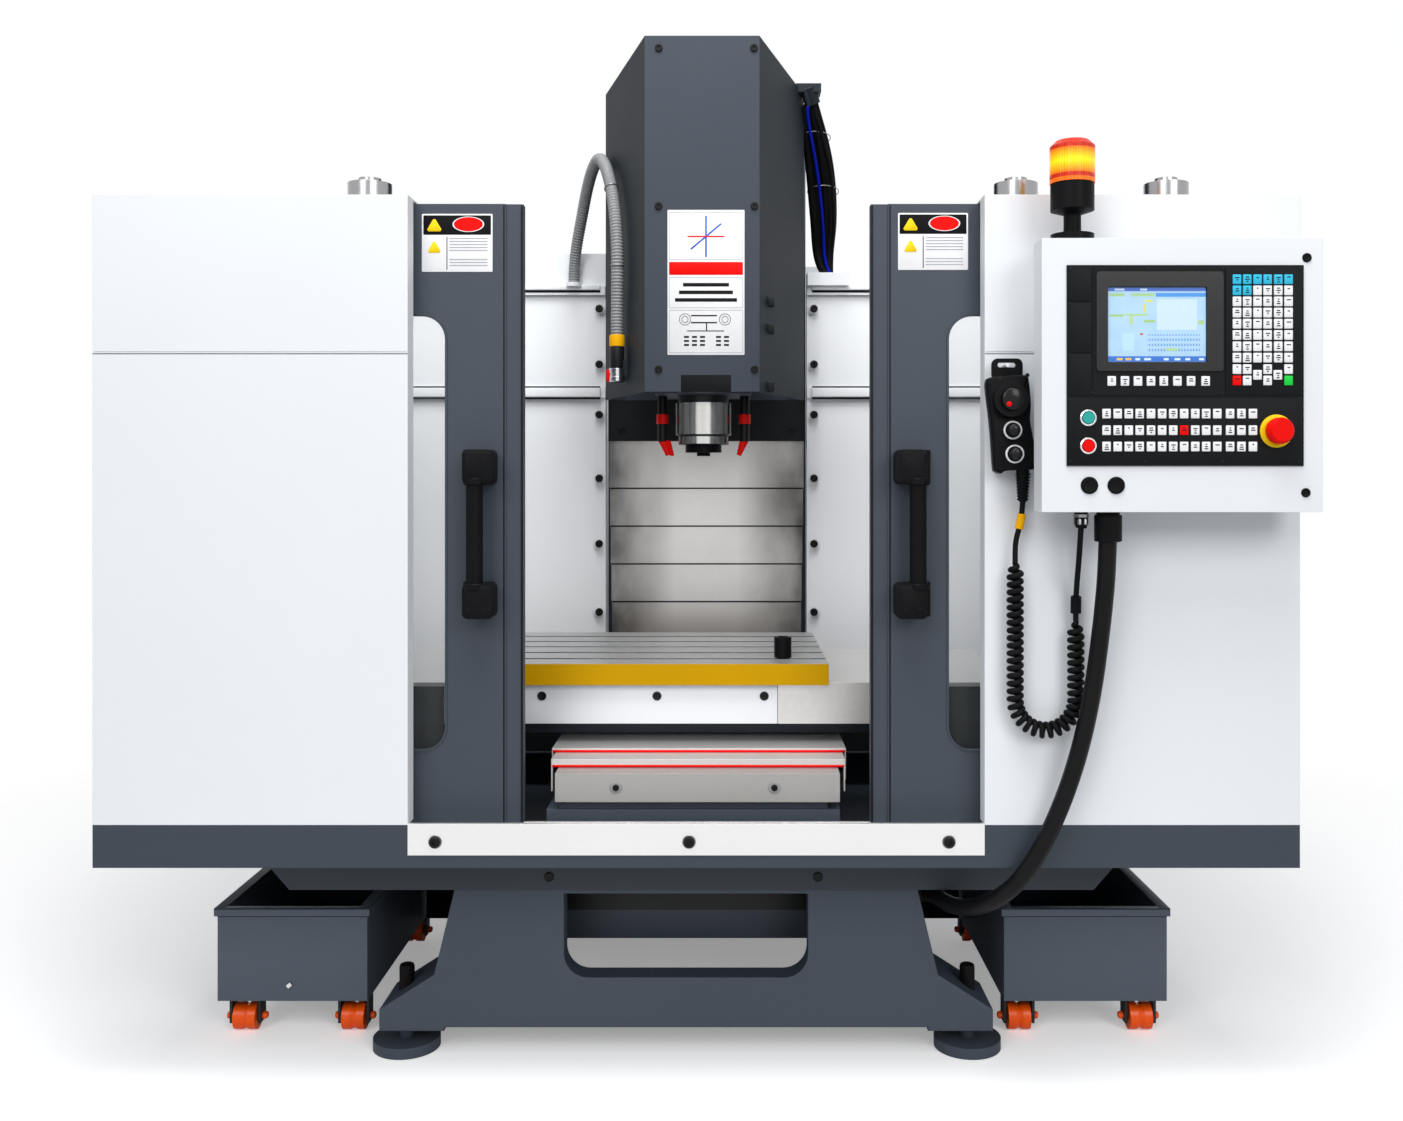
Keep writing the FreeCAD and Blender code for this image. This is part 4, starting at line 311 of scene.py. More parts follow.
def curly_points():
    """Points of the helix: a circle carried down one side, round a half circle and up the other side.

    The circle's radius swells from nothing over the first turns and dies away again over the last.
    """
    x0, y0, z0 = LEAD[-1]
    down = z0 - 2 * CURL["wire"] - CURL["low"]
    up = TAIL[0][2] - 2 * CURL["wire"] - CURL["low"]
    arc = math.pi * CURL["bend"]
    turn = np.linspace(0, CURL["turns"], CURL["turns"] * CURL["per_turn"] + 1)
    distance = turn / CURL["turns"] * (down + arc + up)
    angle = np.clip((distance - down) / CURL["bend"], 0, math.pi)
    out = np.column_stack([-np.cos(angle), np.zeros_like(angle), -np.sin(angle)])
    centre = np.array([x0 + CURL["bend"], y0, CURL["low"]]) + out * CURL["bend"]
    centre[:, 2] += np.clip(down - distance, 0, None) + np.clip(distance - down - arc, 0, None)
    near = np.clip(np.minimum(turn, CURL["turns"] - turn) / CURL["ramp"], 0, 1)
    reach = (CURL["radius"] * near * near * (3 - 2 * near))[:, None]
    spin = 2 * math.pi * turn[:, None]
    return centre + (out * np.cos(spin) + np.array([0, 1, 0]) * np.sin(spin)) * reach


pendant_line = LEAD[:-1] + curly_points().tolist() + TAIL[1:]
pendant_cord = cord("pendant_cord", pendant_line, CURL["wire"], black_sheath, 3)
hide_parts("pendant_cable", "curly_cord")
LEAD[0]

conduit = cord("conduit_line", CONDUIT, 0.0175, conduit_skin)
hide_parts("conduit")
CONDUIT[0]
print("cord points", len(pendant_line), len(CONDUIT))

# %% [markdown]
# ## Surfaces as functions
# Every new piece is a stack of rings: rows along one parameter, columns round the other. One rule gives the faces
# of them all. Three families are enough here: a rounded outline carried straight, a profile turned round an axis,
# and a circle carried along a line.

# %% Stacks of rings
def stack(rings, closed=False):
    """Points and faces of rings laid one after another; the ends are flat, or meet where the stack is closed.

    Each quad joins a point with the next in its row and with the two above them.
    """
    rows, columns = rings.shape[:2]
    row, column = np.meshgrid(np.arange(rows if closed else rows - 1), np.arange(columns), indexing="ij")
    above, beside = (row + 1) % rows, (column + 1) % columns
    corners = [row * columns + column, row * columns + beside, above * columns + beside, above * columns + column]
    faces = np.stack(corners, axis=-1).reshape(-1, 4).tolist()
    if not closed:
        faces += [list(range(columns))[::-1], list(range((rows - 1) * columns, rows * columns))]
    return rings.reshape(-1, 3), faces


def rounded_outline(width, height, corner, steps=3):
    """A rectangle with four quarter circles: corner centre + radius * (cos a, sin a), a running once round."""
    corner = min(corner, width / 2 - 1e-6, height / 2 - 1e-6)
    angle = np.radians(np.arange(4)[:, None] * 90 + np.linspace(0, 90, steps + 1)[None, :])
    x = np.array([1, -1, -1, 1])[:, None] * (width / 2 - corner) + corner * np.cos(angle)
    y = np.array([1, 1, -1, -1])[:, None] * (height / 2 - corner) + corner * np.sin(angle)
    return np.column_stack([x.ravel(), y.ravel()])


def block(low, high, axis=1, corner=0.001, bevel=0.0008, steps=3):
    """A rounded outline square to one axis, carried along it; both ends shrink by a quarter circle of the bevel."""
    low, high = np.minimum(low, high), np.maximum(low, high)
    flat = [index for index in range(3) if index != axis]
    size, middle = high - low, (low + high) / 2
    bevel = min(bevel, size.min() * 0.45)
    turn = np.radians([0, 45, 90])
    depth, inset = bevel * (1 - np.cos(turn)), bevel * (1 - np.sin(turn))
    rings = np.zeros((6, 4 * (steps + 1), 3))
    for level, along, less in zip(rings, [*depth, *(size[axis] - depth)[::-1]], [*inset, *inset[::-1]]):
        wide, tall = size[flat] - 2 * less
        level[:, flat] = rounded_outline(wide, tall, max(corner - less, 0.0002), steps) + middle[flat]
        level[:, axis] = low[axis] + along
    return stack(rings)


AXES = {"x": (0, 1, 2), "y": (1, 2, 0), "z": (2, 0, 1)}


def turned(profile, centre=(0, 0, 0), axis="z", sides=40, closed=False):
    """A profile of (height, radius) pairs turned about an axis: radius * (cos a, sin a) at each height."""
    height, radius = np.array(profile, float).T[:, :, None]
    angle = np.linspace(0, 2 * math.pi, sides, endpoint=False)
    along, first, second = AXES[axis]
    rings = np.zeros((len(profile), sides, 3))
    rings[:, :, along] = height + centre[along]
    rings[:, :, first] = radius * np.cos(angle) + centre[first]
    rings[:, :, second] = radius * np.sin(angle) + centre[second]
    return stack(rings, closed)


def ring(loop, centre):
    """A ring that looks to the front: a closed loop of (height, radius) pairs turned about Y."""
    return turned(loop, centre, "y", 40, True)


def frame_ring(low, high, hole_low, hole_high, back, front, corner=0.002, hole_corner=0.002, steps=5):
    """A flat frame facing forward: outer outline, front and back, joined to the outline of its hole."""
    outer, hole, rings = (low, high, corner), (hole_low, hole_high, hole_corner), []
    for (a, b, radius), y in ((outer, front), (outer, back), (hole, back), (hole, front)):
        flat = rounded_outline(*np.abs(np.subtract(b, a)), radius, steps) + np.add(a, b) / 2
        rings.append(np.insert(flat, 1, y, axis=1))
    return stack(np.array(rings), closed=True)


# %% Skins along a line
def square_to(heading, hint=(1.0, 0.02, 0.0)):
    """Two directions at each point of a line, square to its heading and to each other."""
    heading = heading / np.linalg.norm(heading, axis=1)[:, None]
    side = np.cross(heading, hint)
    side /= np.linalg.norm(side, axis=1)[:, None]
    return side, np.cross(side, heading)


def skin(line, side, up, radius, sides, closed=False):
    """Circles round the points of a line: point + radius * (side * cos a + up * sin a)."""
    angle = np.linspace(0, 2 * math.pi, sides, endpoint=False)[:, None]
    circle = side[:, None] * np.cos(angle) + up[:, None] * np.sin(angle)
    return stack(line[:, None] + circle * np.broadcast_to(radius, len(line))[:, None, None], closed)


def swept(line, radius, sides=16):
    """A round skin along an open line; its radius is one number, or one for each point."""
    return skin(line, *square_to(np.gradient(line, axis=0)), radius, sides)


def hoop(loop, radius, sides=8):
    """A round wire along a closed line."""
    return skin(loop, *square_to(np.roll(loop, -1, 0) - np.roll(loop, 1, 0), (0.02, 0.05, 1.0)), radius, sides, True)


# %% Pieces
def joined(parts):
    """Several point and face sets as one."""
    points, faces, count = [], [], 0
    for some_points, some_faces in parts:
        points.append(some_points)
        faces += [[index + count for index in face] for face in some_faces]
        count += len(some_points)
    return np.concatenate(points), faces


def leaned(part, angle, pivot):
    """A shape turned about the Y axis through a pivot."""
    x, y, z = (part[0] - np.array(pivot)).T
    turned_points = [x * math.cos(angle) - z * math.sin(angle), y, x * math.sin(angle) + z * math.cos(angle)]
    return np.column_stack(turned_points) + np.array(pivot), part[1]


def piece(name, part, material, body="root", sharp=35):
    """Make a mesh object of a shape, or of a list of shapes, give it its finish and let it ride on its body."""
    points, faces = joined(part) if isinstance(part, list) else part
    mesh = bpy.data.meshes.new(name)
    mesh.from_pydata(points.tolist(), [], faces)
    work = bmesh.new()
    work.from_mesh(mesh)
    bmesh.ops.remove_doubles(work, verts=work.verts, dist=2e-6)
    bmesh.ops.recalc_face_normals(work, faces=work.faces)
    work.to_mesh(mesh)
    work.free()
    mesh.polygons.foreach_set("use_smooth", np.ones(len(mesh.polygons), bool))
    mesh.set_sharp_from_angle(angle=math.radians(sharp))
    mesh.materials.append(material)
    thing = new_object(name, mesh)
    if body:
        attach(thing, body)
    return thing


# %% [markdown]
# ## The hoses of the head
# The ribbed hose and the cable bundle join the fixed walls to a head that travels; here each is one fixed mesh on
# no body. Both are skins carried along points read from their own spline, so that the ribs lie square to the line.

# %% Lines of the two hoses
def spline_line(points, smooth=8):
    """Points along the NURBS spline of a route, read from a curve that has no thickness."""
    curve = route_curve("route", points, smooth)
    thing = bpy.data.objects.new("route", curve)
    mesh = bpy.data.meshes.new_from_object(thing)
    line = np.zeros(len(mesh.vertices) * 3)
    mesh.vertices.foreach_get("co", line)
    bpy.data.objects.remove(thing)
    bpy.data.curves.remove(curve)
    bpy.data.meshes.remove(mesh)
    return line.reshape(-1, 3)


def evenly(line, count):
    """The same line with evenly spaced points, and its length."""
    step = np.linalg.norm(np.diff(line, axis=0), axis=1)
    distance = np.concatenate([[0], np.cumsum(step)])
    wanted = np.linspace(0, distance[-1], count)
    return np.column_stack([np.interp(wanted, distance, line[:, axis]) for axis in range(3)]), distance[-1]


hose_line, hose_length = evenly(spline_line(AIR_HOSE), 120 * 6 + 1)
bundle_line, bundle_length = evenly(spline_line(CABLE_BUNDLE), 121)


def strand(offset, turn, radius, inward=0.0):
    """One cable of the bundle: its line pushed aside by an offset that winds round it, and inward in mid span."""
    side, up = square_to(np.gradient(bundle_line, axis=0))
    angle = turn + np.linspace(0, 1.1, len(bundle_line))[:, None]
    line = bundle_line + offset * (side * np.cos(angle) + up * np.sin(angle))
    line[:, 0] -= inward * np.sin(np.linspace(0, math.pi, len(line))) ** 0.45
    return swept(line, radius, 14)


# %% Ribbed hose and cable bundle
rib = np.arange(len(hose_line)) % 6 / 6
hose_radius = 0.0154 + 0.0009 * np.clip(np.sin(rib * 2 * math.pi) * 1.6, -1, 1)
ribbed_hose = piece("ribbed_hose", swept(hose_line, hose_radius, 20), grey_hose_skin, None, 60)
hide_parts("air_hose")
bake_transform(ribbed_hose)
AIR_HOSE[0]

cables = [strand(0.0102, 2 * math.pi * k / 6, 0.0064) for k in range(6)]
cables += [strand(0.0, 0.0, 0.0062), strand(0.004, 1.0, 0.0135, 0.016), strand(0.003, 3.0, 0.0130, 0.034),
           strand(0.004, 5.0, 0.0115, 0.049)]
cable_set = piece("cable_set", cables, black_sheath, None)
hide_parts("cable_bundle")
blue_line = piece("blue_air_line", strand(0.0160, -0.55, 0.0042, 0.030), blue_hose_skin, None)
for thing in (cable_set, blue_line):
    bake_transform(thing)
print("hose %.3f m, bundle %.3f m" % (hose_length, bundle_length))

# %% [markdown]
# ## Paint on sheet metal and castings
# The cabinets are white, the doors and hood grey, both sprayed with a fine orange-peel texture. A painted panel gets
# its colour from three layers: the paint, a slow cloud of handling and dust, and a faint lightening on the edges,
# found where a softened normal leaves the true one, that is partly wear and partly a painted highlight. Castings
# take the same recipe with a coarser, rougher skin.

# %% Paint finish
WHITE, WHITE_SHADE = (0.775, 0.795, 0.82), (0.727, 0.747, 0.776)
# A lighter copy of the white paint, painted light, for the walls, folds and skirt plate inside the enclosure, which
# the lamps reach less.
LIT_WHITE, LIT_WHITE_SHADE = (0.90, 0.915, 0.935), (0.86, 0.88, 0.905)
GREY, GREY_SHADE = (0.046, 0.0573, 0.0745), (0.0395, 0.049, 0.065)
CAST, CAST_SHADE = (0.050, 0.064, 0.086), (0.040, 0.052, 0.071)
CAST_SKIN = {"peel": 260.0, "depth": 0.0012, "edge": 0.004}
HOOD_FACE = 0.1394


def paint(f, colour, shade, peel=700.0, depth=0.00035, edge=0.0012):
    """Colour, roughness and normal of a sprayed surface: mix(colour, shade, cloud), lighter along its edges as wear
    and as a painted highlight.
    """
    cloud = f.noise(2.3, 4.0)
    grain = f.noise(peel, 2.0)
    soft = f.round_edges(edge)
    true = f.node("NewGeometry", output="Normal")
    # Edges lighter than the face: partly wear, partly a painted highlight.
    wear_and_edge_highlight = (1 - f.node("VectorMath", {0: soft, 1: true}, {"operation": "DOT_PRODUCT"}, "Value")) * 2.2
    lighter = tuple(min(1.0, c * 1.22 + 0.012) for c in colour)
    body = f.mix(wear_and_edge_highlight * 0.35, f.mix(cloud * 0.8, colour, shade), lighter)
    return body, 0.42 + cloud * 0.14, f.bump(grain, depth, 0.45, soft)


def painted(name, colour, shade, where=None, second=None, **grain):
    """A painted finish; `where` may be a mask of X, Y and Z that lays a second colour over a part of the node; here
    that colour is a painted shade.
    """
    f = Finish(name)
    body, rough, normal = paint(f, colour, shade, **grain)
    if where:
        body = f.mix(where(*f.place()), body, second)
    return f.close(Base_Color=body, Roughness=rough, Normal=normal, Specular_IOR_Level=0.3)


def shaded_base_hollow(x, y, z):
    """Painted shade: the inside of the base, coloured near black where it lies in deep shadow."""
    return y.between(-0.681, 0.74) * x.between(-0.5125, 0.4585) * z.between(0.03, 0.3565)


def shaded_wall_foot(x, y, z):
    """Painted shade: the foot of the rear walls, below the way covers, coloured dark where shadow falls."""
    return z.between(0.0, 0.575) * (y > 0.05)


def hood_with_painted_side_shade():
    """Grey paint, with painted shade on the two slanted sides of the hood: their colour is darker, standing in for
    the weaker light there.
    """
    f = Finish("hood_paint")
    body, rough, normal = paint(f, GREY, GREY_SHADE)
    # Painted shade: the slanted sides are coloured darker than the front.
    sides = (f.place()[0].size() > HOOD_FACE) * f.sideways()
    dark = f.mix(f.noise(3.0), (0.012, 0.017, 0.023), (0.009, 0.013, 0.018))
    return f.close(
        Base_Color=f.mix(sides, body, dark), Roughness=rough + sides * 0.1, Normal=normal, Specular_IOR_Level=0.18
    )


white_paint = painted("white_paint", WHITE, WHITE_SHADE)
# The lighter copy of the white paint: painted light.
bright_paint = painted("bright_paint", LIT_WHITE, LIT_WHITE_SHADE)
grey_paint = painted("grey_paint", GREY, GREY_SHADE)
skirt_paint = painted("skirt_paint", (0.038, 0.049, 0.064), (0.031, 0.041, 0.055))
tray_paint = painted("tray_paint", (0.032, 0.040, 0.052), (0.025, 0.032, 0.042))
cast_paint = painted("cast_paint", CAST, CAST_SHADE, **CAST_SKIN)
# The inside of the base carries painted shade, near black.
base_paint = painted("base_paint", CAST, CAST_SHADE, shaded_base_hollow, (0.004, 0.0045, 0.005), **CAST_SKIN)
# The foot of the rear walls carries painted shade, dark below the way covers.
wall_paint = painted("wall_paint", LIT_WHITE, LIT_WHITE_SHADE, shaded_wall_foot, (0.006, 0.007, 0.008))
black_paint = sheath("black_paint", (0.004, 0.004, 0.0045), (0.009, 0.009, 0.010), 0.5)

# %% [markdown]
# ## Steel
# Cover plates and the sill are brushed: the scratches all run one way, so the noise is squeezed hard along that
# direction. The upright plates carry a painted reflection, a cloudy dark towards their two ends. The outermost
# lengths of the covers beside the table carry painted shade, a darker sheet, and the front length of the Y cover is
# a darker copy of the way steel, a painted reflection. The screws and caps are smooth metal.

# %% Steel finishes
def brushed(name, stretch, colour, dark, rough=0.30, cloudy=(3.0, None, 0.35), over=None):
    """Bright sheet with scratches along one axis: noise stretched along it drives colour, roughness and bump.

    The cloud is (scale, stretch, share). `over` may add a second colour: it returns a share of it and the colour.
    """
    f = Finish(name)
    scratch = f.noise(60.0, 6.0, stretch, 0.65)
    cloud = f.noise(cloudy[0], 3.0, cloudy[1])
    body = f.mix(scratch * 0.55 + cloud * cloudy[2], colour, dark)
    if over:
        share, second = over(f, cloud)
        body = f.mix(share, body, second)
    normal = f.bump(scratch, 0.0004, 0.25, f.round_edges(0.0008))
    return f.close(Base_Color=body, Metallic=0.72, Roughness=rough + scratch * 0.16, Normal=normal)


def sheen_dark_ends(f, cloud):
    """Painted reflection: a cloudy dark that grows with the distance from X = 0, where the plates mirror less light.
    """
    away = f.node("MapRange", {"Value": f.place()[0].size(), "From Min": 0.09, "From Max": 0.27})
    return away * (cloud * 1.3 + 0.2), (0.10, 0.096, 0.092)


def shaded_lengths(f, cloud):
    """Painted shade: a darker sheet on the low front lengths beyond two places along X, which stand in shade."""
    x, y, z = f.place()
    return ((x < -0.570) + (x > 0.545)) * (y < -0.6) * (z < 0.785), (0.030, 0.031, 0.033)


def plain_metal(name, colour, dark, rough, metal=1.0, grain=80.0):
    """Smooth metal with a faint cloud in colour and gloss."""
    f = Finish(name)
    cloud = f.noise(grain, 4.0)
    normal = f.bump(cloud, 0.0002, 0.15, f.round_edges(0.0008))
    return f.close(
        Base_Color=f.mix(cloud, colour, dark), Metallic=metal, Roughness=rough + cloud * 0.08, Normal=normal,
        Specular_IOR_Level=0.2,
    )


UPRIGHT, ACROSS, ALONG = (1.0, 1.0, 22.0), (1.0, 30.0, 1.0), (1.0, 30.0, 30.0)
PLATE_CLOUD = (9.0, (1.0, 1.0, 0.6), 0.3)
WAY, WAY_DARK = (0.78, 0.765, 0.75), (0.52, 0.51, 0.50)
# cover_steel carries a painted reflection: dark towards the ends of the plates.
cover_steel = brushed(
    "cover_steel", UPRIGHT, (0.97, 0.955, 0.94), (0.72, 0.705, 0.69), cloudy=PLATE_CLOUD, over=sheen_dark_ends
)
way_steel = brushed("way_steel", ACROSS, WAY, WAY_DARK, 0.34)
# The outer front lengths of the X covers carry painted shade.
x_cover_steel = brushed("x_cover_steel", ACROSS, WAY, WAY_DARK, 0.34, over=shaded_lengths)
# A darker copy of the way steel for the front length of the Y cover: a painted reflection.
front_steel = brushed("front_steel", ALONG, (0.44, 0.427, 0.414), (0.30, 0.29, 0.28), 0.32)
sill_steel = brushed("sill_steel", ALONG, (0.86, 0.855, 0.85), (0.70, 0.695, 0.69), 0.26)
chrome = plain_metal("chrome", (0.78, 0.78, 0.80), (0.66, 0.66, 0.69), 0.10)
dark_steel = plain_metal("dark_steel", (0.016, 0.017, 0.019), (0.009, 0.010, 0.011), 0.42, 0.3)
bolt_black = sheath("bolt_black", (0.004, 0.004, 0.0045), (0.010, 0.010, 0.011), 0.34, 0.16)
bolt_steel = plain_metal("bolt_steel", (0.36, 0.36, 0.37), (0.24, 0.24, 0.25), 0.30, 0.9, 300.0)

# %% [markdown]
# ## Nodes with more than one finish
# Some CAD nodes are one solid but carry two finishes: the cast table has a ground top and yellow painted sides, the
# cabinets carry plated caps, the tanks stand on black forks. A mask made from the point's own height or from the
# way its face points picks the finish, so the boundary stays sharp at any distance.

# %% Masked finishes
def table_finish():
    """Ground top, machined slots coloured near black as painted shade, and yellow sides: yellow where the face
    points sideways at the table's rim.
    """
    f = Finish("table_finish")
    x, y, z = f.place()
    rim = (y < -0.6595) + (y > -0.0705) + (x < -0.5130) + (x > 0.2860)
    yellow = f.sideways() * (rim > 0.5) * (z > 0.7905)
    mark = f.noise(90.0, 6.0, (1.0, 9.0, 1.0), 0.7)
    cloud = f.noise(5.0, 4.0)
    ground = f.mix(mark * 0.6 + cloud * 0.4, (0.61, 0.61, 0.605), (0.31, 0.31, 0.31))
    coat = f.mix(cloud, (0.595, 0.323, 0.0008), (0.54, 0.282, 0.0008))
    # Painted shade: near black inside the T-slots.
    shaded_slots = (z < 0.8374) * (z > 0.792) * (1 - rim)
    metal = f.mix(shaded_slots, f.mix(z < 0.7905, ground, (0.16, 0.165, 0.17)), (0.022, 0.022, 0.023))
    return f.close(
        Base_Color=f.mix(yellow, metal, coat), Metallic=(1 - yellow) * (1 - shaded_slots) * 0.75,
        Roughness=0.30 + cloud * 0.15 + mark * 0.08, Specular_IOR_Level=0.08,
        Normal=f.bump(mark, 0.0003, 0.3, f.round_edges(0.001)),
    )


def banded(name, low, high, band, metal, colour, shade):
    """A paint that changes to another colour and sheen between two heights."""
    f = Finish(name)
    body, gloss, normal = paint(f, colour, shade)
    mask = f.place()[2].between(low, high)
    shine = mask * metal
    return f.close(
        Base_Color=f.mix(mask, body, band), Metallic=shine, Roughness=gloss * (1 - shine * 0.6), Normal=normal,
        Specular_IOR_Level=0.3,
    )


table_coat = table_finish()
cabinet_paint = banded("cabinet_paint", 1.8172, 2.0, (0.36, 0.36, 0.37), 1.0, WHITE, WHITE_SHADE)
tank_paint = banded(
    "tank_paint", 0.0, 0.0869, (0.02, 0.02, 0.022), 0.0, (0.076, 0.095, 0.123), (0.062, 0.079, 0.104)
)
foot_paint = banded(
    "foot_paint", 0.0605, 0.2, (0.014, 0.014, 0.015), 0.0, (0.052, 0.066, 0.088), (0.040, 0.052, 0.070)
)
# The rib's upper band, near black, is a painted shadow under the chip tray.
rib_paint = banded(
    "rib_paint", 0.2755, 0.40, (0.0035, 0.004, 0.0045), 0.0, (0.034, 0.043, 0.058), (0.028, 0.036, 0.049)
)
wheel_orange = sheath("wheel_orange", (0.97, 0.112, 0.004), (0.87, 0.088, 0.003), 0.22, 0.28)


# %% Dress the CAD nodes
def dress(finish, *nodes):
    """Give CAD nodes a finish through their material slots."""
    for name in nodes:
        for slot in frame["nodes"][name].material_slots:
            slot.material = finish


WHEEL_ROWS = [f"{side}_tank_{row}_wheels" for side in ("left", "right") for row in ("front", "rear")]
dress(cast_paint, "column", "head_casting", "saddle")
dress(base_paint, "base_casting")
dress(cabinet_paint, "left_cabinet", "right_cabinet")
dress(white_paint, "electrical_cabinet", "control_box", "table_skirt")
dress(wall_paint, "rear_walls")
dress(grey_paint, "left_door", "right_door")
dress(hood_with_painted_side_shade(), "head_hood")
dress(skirt_paint, "enclosure_skirt")
dress(tray_paint, "chip_tray")
dress(sill_steel, "front_sill")
dress(way_steel, "y_cover_rear", "y_cover_middle")
dress(front_steel, "y_cover_front")
dress(x_cover_steel, "x_covers")
dress(cover_steel, "z_cover_top", "z_cover_upper", "z_cover_middle", "z_cover_lower", "z_cover_bottom")
dress(dark_steel, "z_apron")
dress(table_coat, "table")
dress(tank_paint, "left_tank", "right_tank")
dress(foot_paint, "leveling_feet")
dress(wheel_orange, *WHEEL_ROWS)
dress(black_plastic, "tool_setter", "taper_plug", "beacon_base", "cable_glands", "left_door_handle",
      "right_door_handle", "pendant_body", "axis_knob", "step_knob")

# %% [markdown]
# ## Glass, lamp and screen
# Each door has a clear pane set into it. The beacon's lens is ribbed amber plastic with a light behind it. The
# screen glows a little: its bars and fields are flat colours, as on any controller that is switched on.

# %% Clear and glowing finishes
def pane():
    """A thin pane: mostly clear, with a mirror share that grows towards a flat look."""
    f = Finish("pane")
    smear = f.noise(2.0)
    return f.close(
        Base_Color=f.mix(smear, (0.16, 0.18, 0.19), (0.22, 0.24, 0.25)), Roughness=0.03 + smear * 0.03,
        Alpha=0.08 + smear * 0.04, Specular_IOR_Level=0.3,
    )


def coloured(name, colour, shade, rough=0.3, coat=0.0, level=0.16):
    """Moulded plastic in one hue that drifts slightly."""
    f = Finish(name)
    cloud = f.noise(40.0)
    normal = f.bump(f.noise(1200.0, 2.0), 0.0002, 0.2, f.round_edges(0.0004))
    return f.close(
        Base_Color=f.mix(cloud, colour, shade), Roughness=rough + cloud * 0.06, Coat_Weight=coat,
        Specular_IOR_Level=level, Normal=normal,
    )


signal_red = coloured("signal_red", (0.86, 0.004, 0.002), (0.76, 0.003, 0.002), 0.4, level=0.08)
key_white = coloured("key_white", (0.86, 0.87, 0.88), (0.78, 0.79, 0.81), 0.45)
key_cyan = coloured("key_cyan", (0.035, 0.50, 0.72), (0.03, 0.44, 0.66), 0.45)
key_green = coloured("key_green", (0.01, 0.62, 0.06), (0.01, 0.54, 0.05), 0.45)
key_yellow = coloured("key_yellow", (0.90, 0.62, 0.004), (0.84, 0.56, 0.004), 0.42)
key_teal = coloured("key_teal", (0.01, 0.38, 0.33), (0.02, 0.32, 0.28), 0.3, coat=0.3)
panel_black = coloured("panel_black", (0.0045, 0.005, 0.0055), (0.008, 0.0085, 0.0095), 0.5, level=0.09)
bezel_black = coloured("bezel_black", (0.005, 0.005, 0.006), (0.009, 0.009, 0.010), 0.16, coat=0.6)
gloss_black = coloured("gloss_black", (0.004, 0.004, 0.0045), (0.007, 0.007, 0.008), 0.2, coat=0.12)
line_white = coloured("line_white", (0.84, 0.84, 0.85), (0.78, 0.78, 0.79), 0.5)
line_grey = coloured("line_grey", (0.42, 0.43, 0.45), (0.36, 0.37, 0.39), 0.5)
mark_blue = coloured("mark_blue", (0.006, 0.09, 0.58), (0.008, 0.11, 0.62), 0.45, level=0.05)

# %% Screen finish
SCREEN = {"left": 0.7845, "low": 1.4705, "wide": 0.186, "tall": 0.141}
LEAF, SKY = (0.30, 0.52, 0.20), (0.65, 0.78, 0.92)
SCREEN_FIELDS = [
    (2, 17, 88, 92, LEAF), (24, 48, 88, 92, (0.33, 0.55, 0.24)), (49, 100, 87.5, 92.5, (0.03, 0.26, 0.72)),
    (0, 100, 95, 100, (0.02, 0.12, 0.55)), (7, 17, 96, 98.5, (0.55, 0.72, 0.90)),
    (33, 40, 96, 98.5, (0.62, 0.78, 0.92)), (50, 91, 43, 84, (0.52, 0.68, 0.82)), (2, 16, 60.5, 64, LEAF),
    (17, 41, 62, 64.5, (0.36, 0.56, 0.24)), (22, 26, 50, 62, (0.40, 0.58, 0.28)), (37, 48, 52.5, 56.5, LEAF),
    (36, 39, 66, 78, (0.55, 0.60, 0.18)), (38, 46, 80, 83.5, (0.60, 0.62, 0.14)),
    (92, 98, 50, 56, (0.34, 0.55, 0.22)), (33, 36, 36, 38.5, (0.55, 0.02, 0.03)),
    (15, 27, 15, 38, (0.42, 0.66, 0.90)), (59, 72, 15, 18, (0.36, 0.60, 0.20)),
    (0, 100, 0, 7.5, (0.02, 0.15, 0.58)), (9, 15, 2, 5, (0.85, 0.55, 0.05)), (18, 24, 2, 5, (0.85, 0.50, 0.05)),
    *[(left, right, 2, 5, SKY) for left, right in ((28, 33), (37, 44), (57, 62), (68, 74), (79, 84), (93, 98))],
]


def screen_finish():
    """A lit screen: fields in hundredths of its width and height, over a pale blue ground with fine rows."""
    f = Finish("lit_screen")
    x, y, z = f.place()
    across, up = (x - SCREEN["left"]) / SCREEN["wide"], (z - SCREEN["low"]) / SCREEN["tall"]
    body = f.mix(f.noise(30.0), (0.30, 0.52, 0.74), (0.44, 0.64, 0.80))
    rows = ((up * 90.0).wave() > 0.2) * ((across * 210.0).wave() > -0.2)
    table = across.between(0.40, 0.94) * up.between(0.10, 0.37) * rows
    body = f.mix(table * 0.8, body, (0.08, 0.24, 0.60))
    for left, right, low, high, colour in SCREEN_FIELDS:
        field = across.between(left / 100, right / 100) * up.between(low / 100, high / 100)
        body = f.mix(field, body, colour)
    glow = f.noise(12.0) * 0.05 + 0.25
    return f.close(Base_Color=body, Roughness=glow, Emission_Color=body, Emission_Strength=0.07)


# %% Lens, spindle, nozzles and handwheel
def turning(f, across, beyond):
    """The angle of a point about an axis, from its distances along two directions."""
    return f.node("Math", {0: across, 1: beyond}, {"operation": "ARCTAN2"})


